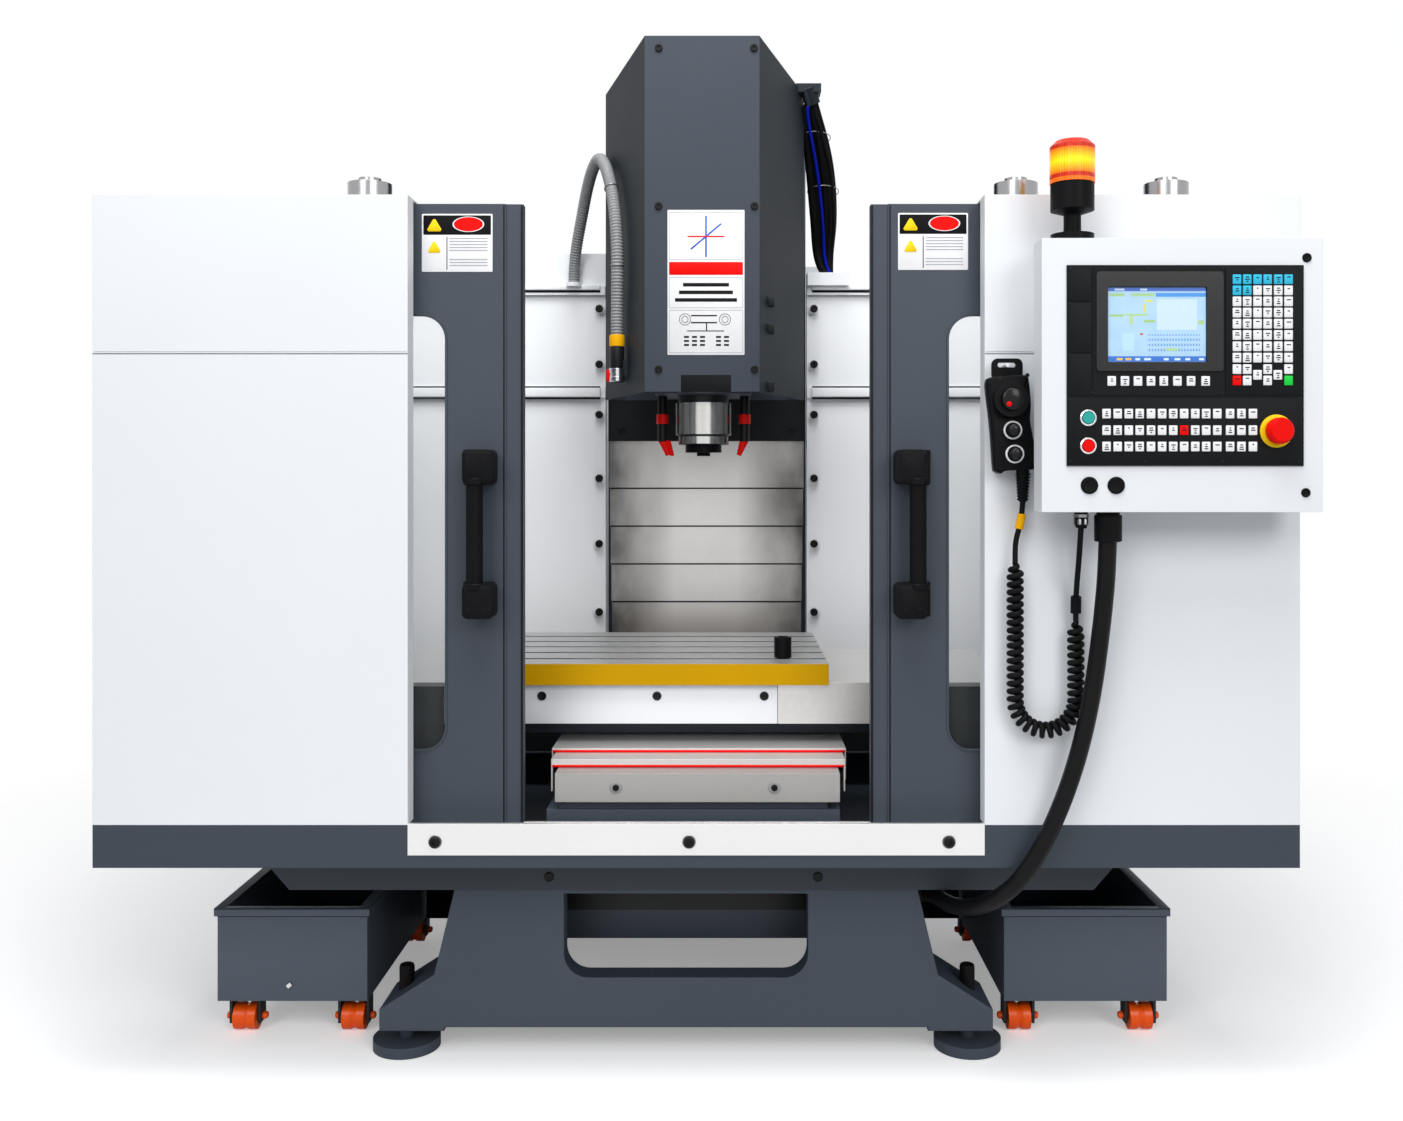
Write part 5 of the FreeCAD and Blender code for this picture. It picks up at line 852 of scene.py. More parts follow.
def lens_finish():
    """Amber plastic with upright ribs, lit from inside, under a red cap and over a red ring."""
    f = Finish("beacon_lens")
    x, y, z = f.place()
    ribs = (turning(f, x - 0.729, y + 1.028) * 48.0).wave()
    bands = (z.between(1.8818, 1.91) + z.between(1.8255, 1.8335)) * 0.92
    ends = (z - 1.8575).size() * 42.0
    body = f.mix(ends, f.mix(f.noise(20.0), (0.90, 0.50, 0.002), (0.92, 0.56, 0.003)), (0.72, 0.09, 0.002))
    light = f.mix(ends, f.mix(ribs * 0.5 + 0.5, (1.0, 0.62, 0.004), (1.0, 0.86, 0.008)), (1.0, 0.17, 0.002))
    return f.close(
        Base_Color=f.mix(bands, body, (0.42, 0.008, 0.003)), Roughness=0.16 + f.noise(60.0) * 0.05, Coat_Weight=0.1,
        Normal=f.bump(ribs, 0.0010, 0.5), Emission_Color=f.mix(bands, light, (0.30, 0.006, 0.002)),
        Emission_Strength=0.6, Specular_IOR_Level=0.15,
    )


def turned_metal(name, flat, *dark_bands):
    """Turned metal with fine rings, dark at given heights, and darker towards its flanks beyond a distance from X =
    0, a painted reflection.
    """
    f = Finish(name)
    x, y, z = f.place()
    lines = f.noise(400.0, 3.0, (0.02, 0.02, 1.0))
    cloud = f.noise(20.0)
    body = f.mix(lines * 0.5 + cloud * 0.2, (0.70, 0.69, 0.67), (0.504, 0.4968, 0.4824))
    shade = f.mix(cloud, (0.02, 0.02, 0.022), (0.032, 0.032, 0.0352))
    mask = sum(z.between(low, high) for low, high in dark_bands)
    # Painted reflection: the flanks of the round piece are coloured dark.
    body = f.mix(f.clamped((x.size() - flat) * 70.0) * 0.9, body, (0.055, 0.050, 0.046))
    return f.close(
        Base_Color=f.mix(mask, body, shade), Metallic=1.0 - mask * 0.5, Roughness=0.16 + lines * 0.12 + mask * 0.2,
        Normal=f.bump(lines, 0.0002, 0.2, f.round_edges(0.0008)),
    )


def nozzle_finish():
    """Black jointed plastic with a red collar and red tips."""
    f = Finish("coolant_nozzle")
    z = f.place()[2]
    cloud = f.noise(60.0)
    red = z.between(1.388, 1.4125) + z.between(1.2, 1.3425)
    black = f.mix(cloud, (0.004, 0.004, 0.0045), (0.010, 0.010, 0.011))
    bright = f.mix(cloud, (0.86, 0.006, 0.002), (0.76, 0.005, 0.002))
    return f.close(
        Base_Color=f.mix(red, black, bright), Roughness=0.34 + cloud * 0.1, Specular_IOR_Level=0.15,
        Normal=f.bump(cloud, 0.0003, 0.3, f.round_edges(0.001)),
    )


def wheel_finish():
    """Black moulded wheel with pale ticks on its rim."""
    f = Finish("pulse_wheel")
    x, y, z = f.place()
    cloud = f.noise(60.0)
    across, up = x - 0.6183, z - 1.4038
    away = across * across + up * up
    tick = ((turning(f, across, up) * 12.0).wave() > 0.96) * (away > 0.00076) * (away < 0.00100) * (y < -1.0085)
    black = f.mix(cloud, (0.0035, 0.0035, 0.004), (0.008, 0.008, 0.009))
    return f.close(
        Base_Color=f.mix(tick, black, (0.5, 0.5, 0.5)), Roughness=0.36 + cloud * 0.1, Specular_IOR_Level=0.08,
        Normal=f.round_edges(0.0008),
    )


dress(pane(), "left_door_glass", "right_door_glass")
dress(screen_finish(), "display_screen")
dress(panel_black, "control_panel")
dress(signal_red, "stop_button", "emergency_stop")
dress(key_teal, "start_button")
dress(lens_finish(), "beacon_lens")
dress(turned_metal("spindle_sleeve", 0.036, (1.440, 1.470)), "spindle_housing")
dress(turned_metal("spindle_nose", 0.030, (1.30, 1.3365), (1.3545, 1.3605)), "spindle_shaft")
dress(nozzle_finish(), "coolant_nozzles")
dress(wheel_finish(), "handwheel")
print("materials", len(bpy.data.materials))

# %% [markdown]
# ## Small front pieces
# Bolts, plugs and plates are placed by the picture: `seen` gives their X and Z on the face that carries them. A
# cap screw is a turned profile with a sunk hollow in its head.

# %% Screws, plugs and plates
SILL, TRAY, WALL, HOOD, DOOR, BOX, PANEL = -0.943, -0.753, 0.143, -0.390, -0.880, -1.070, -1.074
SIDES = (("left", -1), ("right", 1))
SILL_SCREWS = [(435, 842), (689, 842), (949, 842)]
WALL_SCREWS = [(px, py) for px in (599.3, 813.9) for py in (308.8, 364.4, 414.7, 478.3, 543.7, 611.9)]
HOOD_SCREWS = [(658.8, 48), (754, 48), (658.6, 206), (754.5, 206), (658.6, 369.2), (754.5, 369.2)]


def facing(px, py, face, profile, sides=24):
    """A turned profile that looks to the front, at a pixel on the plane of its face."""
    x, z = seen(px, py, face)
    return turned(profile, (x, face, z), "y", sides)


def screw(px, py, face, radius, tall, sides=24):
    """A socket cap screw."""
    profile = [(0.0005, radius), (-tall * 0.82, radius), (-tall, radius * 0.86), (-tall, radius * 0.52),
               (-tall * 0.45, radius * 0.48)]
    return facing(px, py, face, profile, sides)


def plug(px, py, face, radius, height=0.003):
    """A low domed plug."""
    profile = [(0.0005, radius), (-height * 0.5, radius), (-height * 0.85, radius * 0.93), (-height, radius * 0.80),
               (-height * 0.8, radius * 0.66), (-height * 0.8, radius * 0.1)]
    return facing(px, py, face, profile, 32)


def washer(px, py, face, inner, outer):
    """A flat ring round a screw."""
    x, z = seen(px, py, face)
    return ring([(0.0004, inner), (-0.0010, inner), (-0.0012, outer - 0.0008), (0.0004, outer)], (x, face, z))


def each(shape, places, *size):
    """The same small shape at many pixels."""
    return [shape(px, py, *size) for px, py in places]


def plate(left, top, right, bottom, face, proud=0.0015, corner=0.002, sink=0.0005, bevel=0.0004):
    """A flat plate that looks to the front, given by its edges in the picture and the plane that carries it."""
    x0, z0 = seen(left, bottom, face)
    x1, z1 = seen(right, top, face)
    return block((x0, face - proud, z0), (x1, face + sink, z1), 1, corner, bevel)


piece("sill_screws", each(screw, SILL_SCREWS, SILL, 0.0112, 0.007), bolt_black)
piece("tray_plugs", each(plug, [(549, 877), (818, 877)], TRAY, 0.0105, 0.004), bolt_black)
piece("wall_screws", each(screw, WALL_SCREWS, WALL, 0.0108, 0.006), bolt_black)
piece("hood_screws", each(screw, HOOD_SCREWS, HOOD, 0.0092, 0.005), bolt_black, "head")
piece("apron_screws", each(screw, [(621.7, 430.5), (791.5, 430)], 0.200, 0.0105, 0.005), bolt_black, "head")
# The skirt plate takes the lighter copy of the white paint: painted light.
skirt_plate = piece("skirt_plate", block((-0.4005, -0.640, 0.702), (0.1735, -0.637, 0.791), 1, 0.0015, 0.0008),
                    bright_paint, "table")
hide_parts("table_skirt")
table_plugs = [(541.9, 696), (657, 696), (764.2, 696)]
piece("table_plugs", each(plug, table_plugs, -0.640, 0.0100, 0.003), bolt_black, "table")

# %% Notice plates: bare fields of colour
OVAL, NOTICE_HEADER, NOTICE_SPLIT = (2.05, 1.0, 1.0), 21, 24.7


def triangle(px, top, half, tall, face):
    """A thin plate with three sides, its point up, with softened corners."""
    x, z = seen(px, top, face)
    wide, high = seen(px + half, top + tall, face)[0] - x, z - seen(px, top + tall, face)[1]
    corners = np.array([(0.0, 0.0), (wide, -high), (-wide, -high)])
    centre = corners.mean(axis=0)
    near = corners * 0.86 + np.roll(corners, 1, 0) * 0.14, corners * 0.86 + np.roll(corners, -1, 0) * 0.14
    outline = np.stack(near, axis=1).reshape(-1, 2)
    levels = (outline, 0.0003), (outline, -0.0012), (centre + (outline - centre) * 0.96, -0.0015)
    return stack(np.stack([np.insert(flat + (x, z), 1, face + y, axis=1) for flat, y in levels]))


def sticker(side, left, top, right, bottom):
    """A notice without words: white plate, dark header bar, red oval, two yellow shapes and a dividing line."""
    def add(what, part, material):
        piece(side + "_notice" + what, part, material, side + "_door")

    bar, split = top + NOTICE_HEADER, left + NOTICE_SPLIT
    x, z = seen((left + right) / 2, (top + bar) / 2, DOOR)
    oval = turned([(0.0002, 0.0145), (-0.0014, 0.0145), (-0.0014, 0.004)], (0, DOOR, 0), "y", 40)
    rim = ring([(0, 0.0145), (-0.0016, 0.0145), (-0.0016, 0.0158), (0, 0.0158)], (0, DOOR, 0))
    oval, rim = [(points * OVAL + (x + 0.023, 0, z), faces) for points, faces in (oval, rim)]
    add("", plate(left, top, right, bottom, DOOR, 0.0008), line_white)
    add("_bar", plate(left + 1.5, top + 1.5, right - 1.5, bar, DOOR, 0.0011), black_paint)
    add("_oval", oval, signal_red)
    add("_marks", [triangle(left + 12.5, start, 7.4 + more, 13 + more, DOOR) for start, more in
                   ((top + 3.6, 1), (bar + 5, 0))], key_yellow)
    add("_rule", plate(split, bar + 2, split + 0.9, bottom - 2, DOOR, 0.0012, 0.0004), panel_black)
    add("_lines", [plate(split + 3, bar + row, right - 5 - (row % 3) * 2.5, bar + row + 1.1, DOOR, 0.0012, 0.0003)
                   for row in (3, 6, 9, 12, 15, 24, 27, 30)], line_grey)
    add("_rim", rim, line_white)


sticker("left", 421.9, 213.9, 492.6, 271.9)
sticker("right", 898, 213, 968, 270)

# %% Hood plate
def tilted_bar(half, thick, angle, proud):
    """A thin bar through the middle of the plate's upper field, turned in its plane."""
    x, z = seen(706, 236.5, HOOD)
    bar = block((x - half, HOOD - proud, z - thick / 2), (x + half, HOOD, z + thick / 2), 1, 0.0003, 0.0001)
    return leaned(bar, math.radians(angle), (x, HOOD, z))


def hood_rule(*edges):
    """A thin line or field on the hood plate."""
    return plate(*edges, HOOD, 0.0016, 0.0003)


piece("hood_plate", plate(667.5, 210, 744.5, 355, HOOD, 0.0012), line_white, "head")
piece("hood_plate_band", plate(669, 262, 743, 275, HOOD, 0.0016), signal_red, "head")
blue = [tilted_bar(0.050, 0.0040, 90, 0.0016), tilted_bar(0.048, 0.0036, 40, 0.0017)]
piece("hood_plate_blue", blue, mark_blue, "head")
piece("hood_plate_red", tilted_bar(0.045, 0.0032, 0, 0.0018), signal_red, "head")
frames = []
for top, bottom in ((212, 260), (277, 308), (310, 353)):
    low, high = np.array(seen(669, bottom, HOOD)), np.array(seen(743, top, HOOD))
    frames.append(frame_ring(low, high, low + 0.0012, high - 0.0012, HOOD, HOOD - 0.0015, 0.003, 0.002))
piece("hood_plate_frames", frames, line_grey, "head")
rules = [hood_rule(683 - half, top, 729 + half, top + 3.6) for top, half in ((283, 0), (290.6, 4), (298.2, 8))]
rules += [hood_rule(684 + 8 * k, 336 + 4 * j, 689 + 8 * k, 338 + 4 * j) for k in (0, 1, 2, 4, 5) for j in (0, 1, 2)]
rules += [hood_rule(691, 315, 717, 316.4), hood_rule(691, 322, 717, 323.4), hood_rule(687, 330.5, 724, 331.5),
          hood_rule(706, 323, 707.2, 331)]
for px in (685, 725):
    x, z = seen(px, 319.5, HOOD)
    for r in (0.013, 0.007):
        rules.append(ring([(0, r), (-0.0016, r), (-0.0016, r + 0.0012), (0, r + 0.0012)], (x, HOOD, z)))
piece("hood_plate_rules", rules, panel_black, "head")
piece("hood_foot_plate", plate(681, 375, 731, 392, HOOD, 0.0016), panel_black, "head")

# %% Edges of the upright way cover, folds of the rear walls, and painted shadow lines on the doors
def across(low, high, corner=0.0004, bevel=0.0003):
    """A strip carried along X."""
    return block(low, high, 0, corner, bevel)


def wall_strips(sign, proud, heights, *edge):
    """Strips across one rear wall, each between two heights."""
    return [across((sign * 0.300, WALL - proud, z0), (sign * 0.930, WALL + 0.0005, z1), *edge) for z0, z1 in heights]


for name, body in (
    ("z_cover_top", "head"), ("z_cover_upper", "z_cover_upper"), ("z_cover_middle", "z_cover_middle"),
    ("z_cover_lower", "z_cover_lower"),
):
    (x0, y0, z0), (x1, y1, z1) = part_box(name)
    lip = across((x0 + 0.001, y0 - 0.0009, z0 + 0.0004), (x1 - 0.001, y0 + 0.0004, z0 + 0.0044))
    piece(name + "_lip", lip, dark_steel, body)
for side, sign in SIDES:
    folds = wall_strips(sign, 0.007, ((1.4795, 1.5050), (1.7820, 1.7960)), 0.002, 0.0015)
    # The folds take the lighter copy of the white paint: painted light.
    piece(side + "_wall_folds", folds, bright_paint)
    seams = wall_strips(sign, 0.0025, ((1.4730, 1.4785), (1.5058, 1.5100), (1.7758, 1.7812)))
    piece(side + "_wall_seams", seams, panel_black)
    seam = across((sign * 0.5775, -0.9404, 1.4978), (sign * 1.2070, -0.9396, 1.4994), 0.0003, 0.0002)
    piece(side + "_cabinet_seam", seam, panel_black)
    # Dark lines down each door where a small step sits: a painted shadow.
    lines = [block((sign * near, DOOR - 0.0005, 0.546), (sign * far, DOOR + 0.0004, 1.808), 2, 0.0002, 0.0001)
             for near, far in ((0.3935, 0.3965), (0.3565, 0.3600))]
    piece(side + "_door_shadow_lines", lines, panel_black, side + "_door")

# %% Wipers and cover screws
COVER_SCREWS = [(615.8, 787.7), (774.4, 787.7)]
COVER_WASHER = [(0.0005, 0.0135), (-0.0015, 0.0135), (-0.002, 0.012), (-0.002, 0.004)]
for name, half, y, low, body in (
    ("rear_wiper", 0.318, -0.710, 0.6535, "saddle"), ("middle_wiper", 0.310, -0.780, 0.6365, "y_cover_middle")
):
    lip = across((-half, y - 0.003, low), (half, y + 0.0005, low + 0.0043), 0.0008, 0.0006)
    piece(name, lip, signal_red, body)
piece("cover_washers", each(facing, COVER_SCREWS, -0.840, COVER_WASHER, 32), bolt_steel)
piece("cover_screws", each(screw, COVER_SCREWS, -0.842, 0.0068, 0.005), bolt_black)

# %% [markdown]
# ## The operating panel
# The panel is built from separate black plates with fine gaps between them, as the real one is. Its keys stand in
# straight rows; each carries a few small dark bars in place of a legend. Round lamps and rings are turned.

# %% Panel plates
panels = [plate(*edges, PANEL, 0.0016) for edges in (
    (1068.2, 268, 1091.4, 301.4), (1068.2, 302.6, 1091.4, 352.8), (1068.2, 354.0, 1091.4, 395.4),
    (1225.4, 267.4, 1302.8, 395.4), (1068.2, 398.2, 1302.8, 463.6),
)]
panels.append(plate(1074.4, 401.6, 1298.6, 460.0, PANEL, 0.0022))
edges = seen(1093.0, 395.4, PANEL), seen(1224.2, 267.4, PANEL)
panels.append(frame_ring(*edges, (0.784, 1.470), (0.971, 1.612), PANEL + 0.0004, PANEL - 0.0016))
piece("panel_plates", panels, panel_black)
edges = seen(1096, 371.2, PANEL), seen(1222.8, 271.7, PANEL)
bezel = frame_ring(*edges, (0.7835, 1.4695), (0.9715, 1.6125), PANEL, PANEL - 0.0042, 0.006, 0.003)
piece("screen_bezel", bezel, bezel_black)
PANEL_SCREWS = [
    (1070.6, 268.8), (1148.6, 268.8), (1223.2, 268.3), (1299.4, 268.3), (1069.8, 303.3), (1069.8, 354.8),
    (1092.6, 392.6), (1223.2, 392.6), (1069.8, 400), (1299.4, 398), (1070.6, 461.2), (1144.8, 461.2),
    (1222.4, 461.2), (1298.8, 461.2),
]
piece("panel_screws", each(screw, PANEL_SCREWS, PANEL - 0.0016, 0.0022, 0.001, 12), dark_steel)

# %% Keys
RISE = 0.0042


def key(px, py):
    """One square key with soft corners."""
    return plate(px - 4.2, py - 4.8, px + 4.2, py + 4.8, PANEL, RISE, 0.0014, 0.0005, 0.0009)


def legend(px, py, index):
    """Small dark bars on a key instead of a letter: one to three, whose length depends on the key's number."""
    for row in range(1 + index % 3):
        half = 0.9 + (index * 7 + row * 5) % 4 * 0.45
        y = py - 2.2 + row * 2.2 + (index % 2) * 0.6
        yield plate(px - half, y - 0.55, px + half, y + 0.55, PANEL, RISE + 0.00025, 0.0003, -RISE + 0.0003, 0.0001)


columns = (1236.4, 1246.6, 1256.9, 1267.0, 1277.6, 1287.9)
board = [(px, py) for py in (279.5, 290.6, 301.6, 312.8, 323.9, 335.2, 346.5, 357.8) for px in columns]
soft_keys = [(px, 381.1) for px in (1111.3, 1124.5, 1137.5, 1150.5, 1163.3, 1176.9, 1190.5, 1205.1)]
odd_keys = [(columns[k], 369.3) for k in (0, 1, 3, 5)] + [(1256.9, 375.0), (1277.2, 375.0)]
odd_keys += [(columns[1], 380.6), (columns[3], 380.6)]
lower = [(px, py) for py in (413.7, 430.3, 446.6) for px in (
    1106.1, 1117.2, 1128.3, 1139.2, 1150.5, 1161.6, 1172.7, 1183.6, 1194.7, 1205.6, 1216.7, 1229.5, 1240.8, 1252.3)]
LOWER_RED = 14 + 7
red_keys = [(columns[0], 380.6), lower.pop(LOWER_RED)]
white_keys, cyan_keys = board[8:] + soft_keys + odd_keys + lower, board[:8]
piece("white_keys", each(key, white_keys), key_white)
piece("cyan_keys", each(key, cyan_keys), key_cyan)
piece("red_keys", each(key, red_keys), signal_red)
piece("green_key", key(columns[5], 380.6), key_green)
every_key = white_keys + cyan_keys + red_keys
piece("key_marks", [bar for index, at in enumerate(every_key) for bar in legend(*at, index)], panel_black)
print("keys", len(every_key) + 1)

# %% Rings, caps and plugs of the control box
RING = [(-0.0028, 0.0118), (-0.0062, 0.0118), (-0.0070, 0.0130), (-0.0058, 0.0156), (-0.0028, 0.0162)]
GUARD = [(-0.0028, 0.0150), (-0.0048, 0.0150), (-0.0052, 0.0290), (-0.0042, 0.0312), (0.0002, 0.0316),
         (0.0002, 0.0150)]
piece("start_ring", ring(RING, (0.746, PANEL, 1.364)), chrome)
piece("stop_ring", ring(RING, (0.746, PANEL, 1.311)), chrome)
piece("emergency_ring", ring(GUARD, (1.103, PANEL, 1.339)), key_yellow)
piece("box_corner_caps", each(plug, [(1306.8, 257.7), (1305.7, 492.7)], BOX, 0.0088), black_plastic)
piece("box_plugs", each(plug, [(1089.3, 485.4), (1116.1, 485.4)], BOX, 0.0165, 0.004), black_plastic)

# %% [markdown]
# ## Pendant, sleeves and fittings
# The pendant leans a little, so its scales lean with it. Sleeves on the cords are short skins along the cords' own
# points. The strain relief at the pendant is a taper cut into ribs.

# %% Pendant case
OUTLINE = [
    (1005.0, 375.4), (991.3, 377.1), (987.6, 380.4), (987.4, 390.1), (990.8, 417.2), (992.8, 440.0), (994.6, 467.1),
    (996.3, 471.5), (1001.7, 473.6), (1007.0, 470.9), (1034.2, 469.2), (1035.6, 464.9), (1035.5, 447.6),
    (1033.1, 434.6), (1030.6, 419.4), (1031.5, 404.2), (1029.3, 379.3), (1026.6, 375.5), (1020.0, 374.6),
]
CASE_FRONT, CASE_BACK = -0.985, -0.951


def smooth_loop(points, steps=5):
    """A closed curve through points: each stretch is a cubic whose slope at a point joins its two neighbours."""
    t = (np.arange(steps) / steps)[None, :, None]
    a, b, c, d = [np.roll(points, shift, 0)[:, None, :] for shift in (1, 0, -1, -2)]
    bent = 0.5 * (2 * b + (c - a) * t + (2 * a - 5 * b + 4 * c - d) * t ** 2 + (3 * b - a - 3 * c + d) * t ** 3)
    return bent.reshape(-1, 2)


def shell(outline, y0, y1, bevel):
    """A moulded case: its outline carried from back to front, drawn in along its own normals at both ends."""
    slope = np.roll(outline, -1, 0) - np.roll(outline, 1, 0)
    normal = np.column_stack([slope[:, 1], -slope[:, 0]]) / np.linalg.norm(slope, axis=1)[:, None]
    normal *= np.sign(((outline - outline.mean(axis=0)) * normal).sum(axis=1).sum())
    turn = np.radians([0, 30, 60, 90])
    inset, depth = bevel * (1 - np.sin(turn)), bevel * (1 - np.cos(turn))
    levels = zip([*inset, *inset[::-1]], [*(y0 + depth), *(y1 - depth)[::-1]])
    return stack(np.stack([np.insert(outline - normal * less, 1, y, axis=1) for less, y in levels]))


case = np.array([seen(px, py, CASE_FRONT) for px, py in OUTLINE])
pendant_case = piece("pendant_case", shell(smooth_loop(case), CASE_FRONT, CASE_BACK, 0.005), black_plastic)
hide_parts("pendant_body")
hanger = frame_ring(
    (0.585, 1.444), (0.646, 1.4862), (0.5965, 1.4685), (0.6325, 1.4780), -0.964, -0.972, 0.012, 0.0042, 8
)
piece("pendant_hanger", hanger, black_plastic)
SMALL_SCREW = [(0.0004, 0.0042), (-0.0006, 0.0042), (-0.0010, 0.0030), (-0.0002, 0.0026)]
screws = [turned(SMALL_SCREW, (x, CASE_FRONT, z), "y", 16) for x, z in ((0.5985, 1.4465), (0.6520, 1.4520))]
piece("pendant_screws", screws, dark_steel)

# %% Pendant wheel and knobs
LEAN, PIVOT = math.radians(4.7), (0.622, -0.985, 1.359)
DOME = [(0.0, 0.0122), (-0.0030, 0.0118), (-0.0052, 0.0098), (-0.0064, 0.0064), (-0.0068, 0.0022)]
HUB = [(0.0, 0.0215), (-0.0034, 0.0210), (-0.0046, 0.0192), (-0.0046, 0.004)]
DOT = [(0.0, 0.0052), (-0.0022, 0.0048), (-0.0034, 0.0032), (-0.0038, 0.0010)]
SCALE = [(0.0004, 0.0148), (-0.0030, 0.0148), (-0.0034, 0.0153), (-0.0034, 0.0178), (-0.0028, 0.0183),
         (0.0004, 0.0183)]
piece("axis_dome", turned(DOME, (0.6232, -1.0008, 1.3441), "y", 32), gloss_black, "axis_knob")
piece("step_dome", turned(DOME, (0.6271, -1.0008, 1.2972), "y", 32), gloss_black, "step_knob")
x, z = seen(1009.3, 404.0, -1.016)
piece("wheel_dot", turned(DOT, (x, -1.0150, z), "y", 24), signal_red, "handwheel")
piece("wheel_hub", turned(HUB, (0.6183, -1.0108, 1.4038), "y", 48), gloss_black, "handwheel")
for name, up in (("axis", -0.015), ("step", -0.062)):
    points, faces = ring(SCALE, PIVOT)
    piece(name + "_scale", leaned((points + (0, 0, up), faces), LEAN, PIVOT), line_white)

# %% Sleeves on the cords
def sleeve(points, low, high, radius, ends=0.0006):
    """A sleeve on a cord between two heights: a skin with softened ends."""
    line = evenly(spline_line(points), 400)[0]
    line = evenly(line[(line[:, 2] >= low) & (line[:, 2] <= high)], 24)[0]
    reach = np.full(len(line), radius)
    reach[[0, -1]] -= ends
    return swept(line, reach, 24)


RELIEF = {"low": 1.2060, "step": 0.0062, "radius": 0.0102, "grow": 0.0004, "count": 9}
piece("lead_sleeve", sleeve(LEAD, 1.149, 1.179, 0.0082), yellow_plastic)
piece("tail_sleeve", sleeve(TAIL, 0.982, 1.016, 0.0105), black_plastic)
tail_nuts = [turned([(0.0, 0.0145), (0.010, 0.0145), (0.012, 0.0135)], (0.747, -1.024, 1.160), sides=6),
             turned([(0.0, 0.0150), (0.006, 0.0150)], (0.747, -1.024, 1.174), sides=6)]
piece("tail_nut", tail_nuts, bolt_steel)
NUT = [(0.0, 0.0238), (0.002, 0.0262), (0.050, 0.0262), (0.052, 0.0245)]
piece("conduit_nut", turned(NUT, (0.798, -1.028, 1.127), sides=36), black_plastic)
ribs = []
for step in range(RELIEF["count"]):
    z, reach = RELIEF["low"] + step * RELIEF["step"], RELIEF["radius"] + step * RELIEF["grow"]
    profile = [(0, reach), (0.0008, reach + 0.0012), (0.0030, reach + 0.0012), (0.0038, reach)]
    ribs.append(turned(profile, (0.647 + (z - 1.203) * 0.012, -0.967, z), sides=28))
piece("strain_relief", ribs, black_plastic)

# %% Hose fittings
TIE_COUNT, TIE_WIDE, TIE_DEEP, TIE_RISE = 49, 0.043, 0.024, 0.012
VALVE = (-0.219, -0.241, 0.0)
COLLAR = [(1.493, 0.0176), (1.495, 0.0205), (1.506, 0.0205), (1.507, 0.0196), (1.514, 0.0196), (1.515, 0.0205),
          (1.527, 0.0205), (1.529, 0.0176)]
for name, profile, material, sides in (
    ("hose_nut", [(1.583, 0.0182), (1.584, 0.0196), (1.611, 0.0196), (1.613, 0.0182)], yellow_plastic, 12),
    ("valve_tube", [(1.530, 0.0174), (1.532, 0.0184), (1.580, 0.0184), (1.583, 0.0174)], dark_steel, 36),
    ("valve_collar", COLLAR, chrome, 36),
):
    piece(name, turned(profile, VALVE, sides=sides), material, "head")
lever = block((-0.2465, -0.246, 1.4950), (-0.2365, -0.236, 1.5245), 2, 0.003, 0.001)
piece("valve_lever", lever, signal_red, "head")
for number, share in ((1, 0.60), (2, 0.82)):
    at = int(share * len(hose_line))
    tie = piece("hose_tie_%d" % number, swept(hose_line[at - 1:at + 1], 0.0188, 24), bolt_steel, None)
    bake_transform(tie)
turn = np.linspace(0, 2 * math.pi, TIE_COUNT)[:-1]
tie_loop = np.column_stack([TIE_WIDE * np.cos(turn), -TIE_DEEP * np.sin(turn), TIE_RISE * np.sin(turn)])
for number, share in ((1, 0.20), (2, 0.52)):
    centre = bundle_line[int(share * len(bundle_line))] - (0.020, 0.0, 0.0)
    tie = piece("bundle_tie_%d" % number, hoop(centre + tie_loop, 0.0012), bolt_steel, None)
    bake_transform(tie)

# %% Window gaskets
for side, sign in SIDES:
    (x0, x1), (far0, far1) = sorted((sign * 0.5155, sign * 0.9105)), sorted((sign * 0.5105, sign * 0.9155))
    lip = frame_ring((far0, 0.6895), (far1, 1.5855), (x0, 0.6945), (x1, 1.5805), DOOR + 0.0003, DOOR - 0.0016,
                     0.0515, 0.0465, 8)
    piece(side + "_gasket", lip, skirt_paint, side + "_door")

# %% Handle sockets
SOCKET_LIP = [(-0.007, 0.0205), (-0.005, 0.0225), (0.005, 0.0225), (0.007, 0.0205)]
SOCKET_DOT = [(0.0005, 0.0030), (-0.0004, 0.0030), (-0.0006, 0.0022), (0.0, 0.0016)]
for (side, sign), off in zip(SIDES, (0.0075, -0.0135)):
    middle, parts = sign * 0.445 + off, []
    for low, high, height in ((1.237, 1.307, 1.243), (0.968, 1.038, 1.032)):
        parts.append(block((middle - 0.031, -0.9505, low), (middle + 0.031, DOOR, high), 1, 0.011, 0.009, 5))
        parts.append(turned(SOCKET_LIP, (sign * 0.445, -0.9320, height), sides=36))
    piece(side + "_handle_sockets", parts, black_plastic, side + "_door")
    dots = [turned(SOCKET_DOT, (middle + dx, -0.9505, z), "y", 16) for dx in (-0.015, 0.015) for z in (1.287, 0.988)]
    piece(side + "_handle_dots", dots, bolt_black, side + "_door")

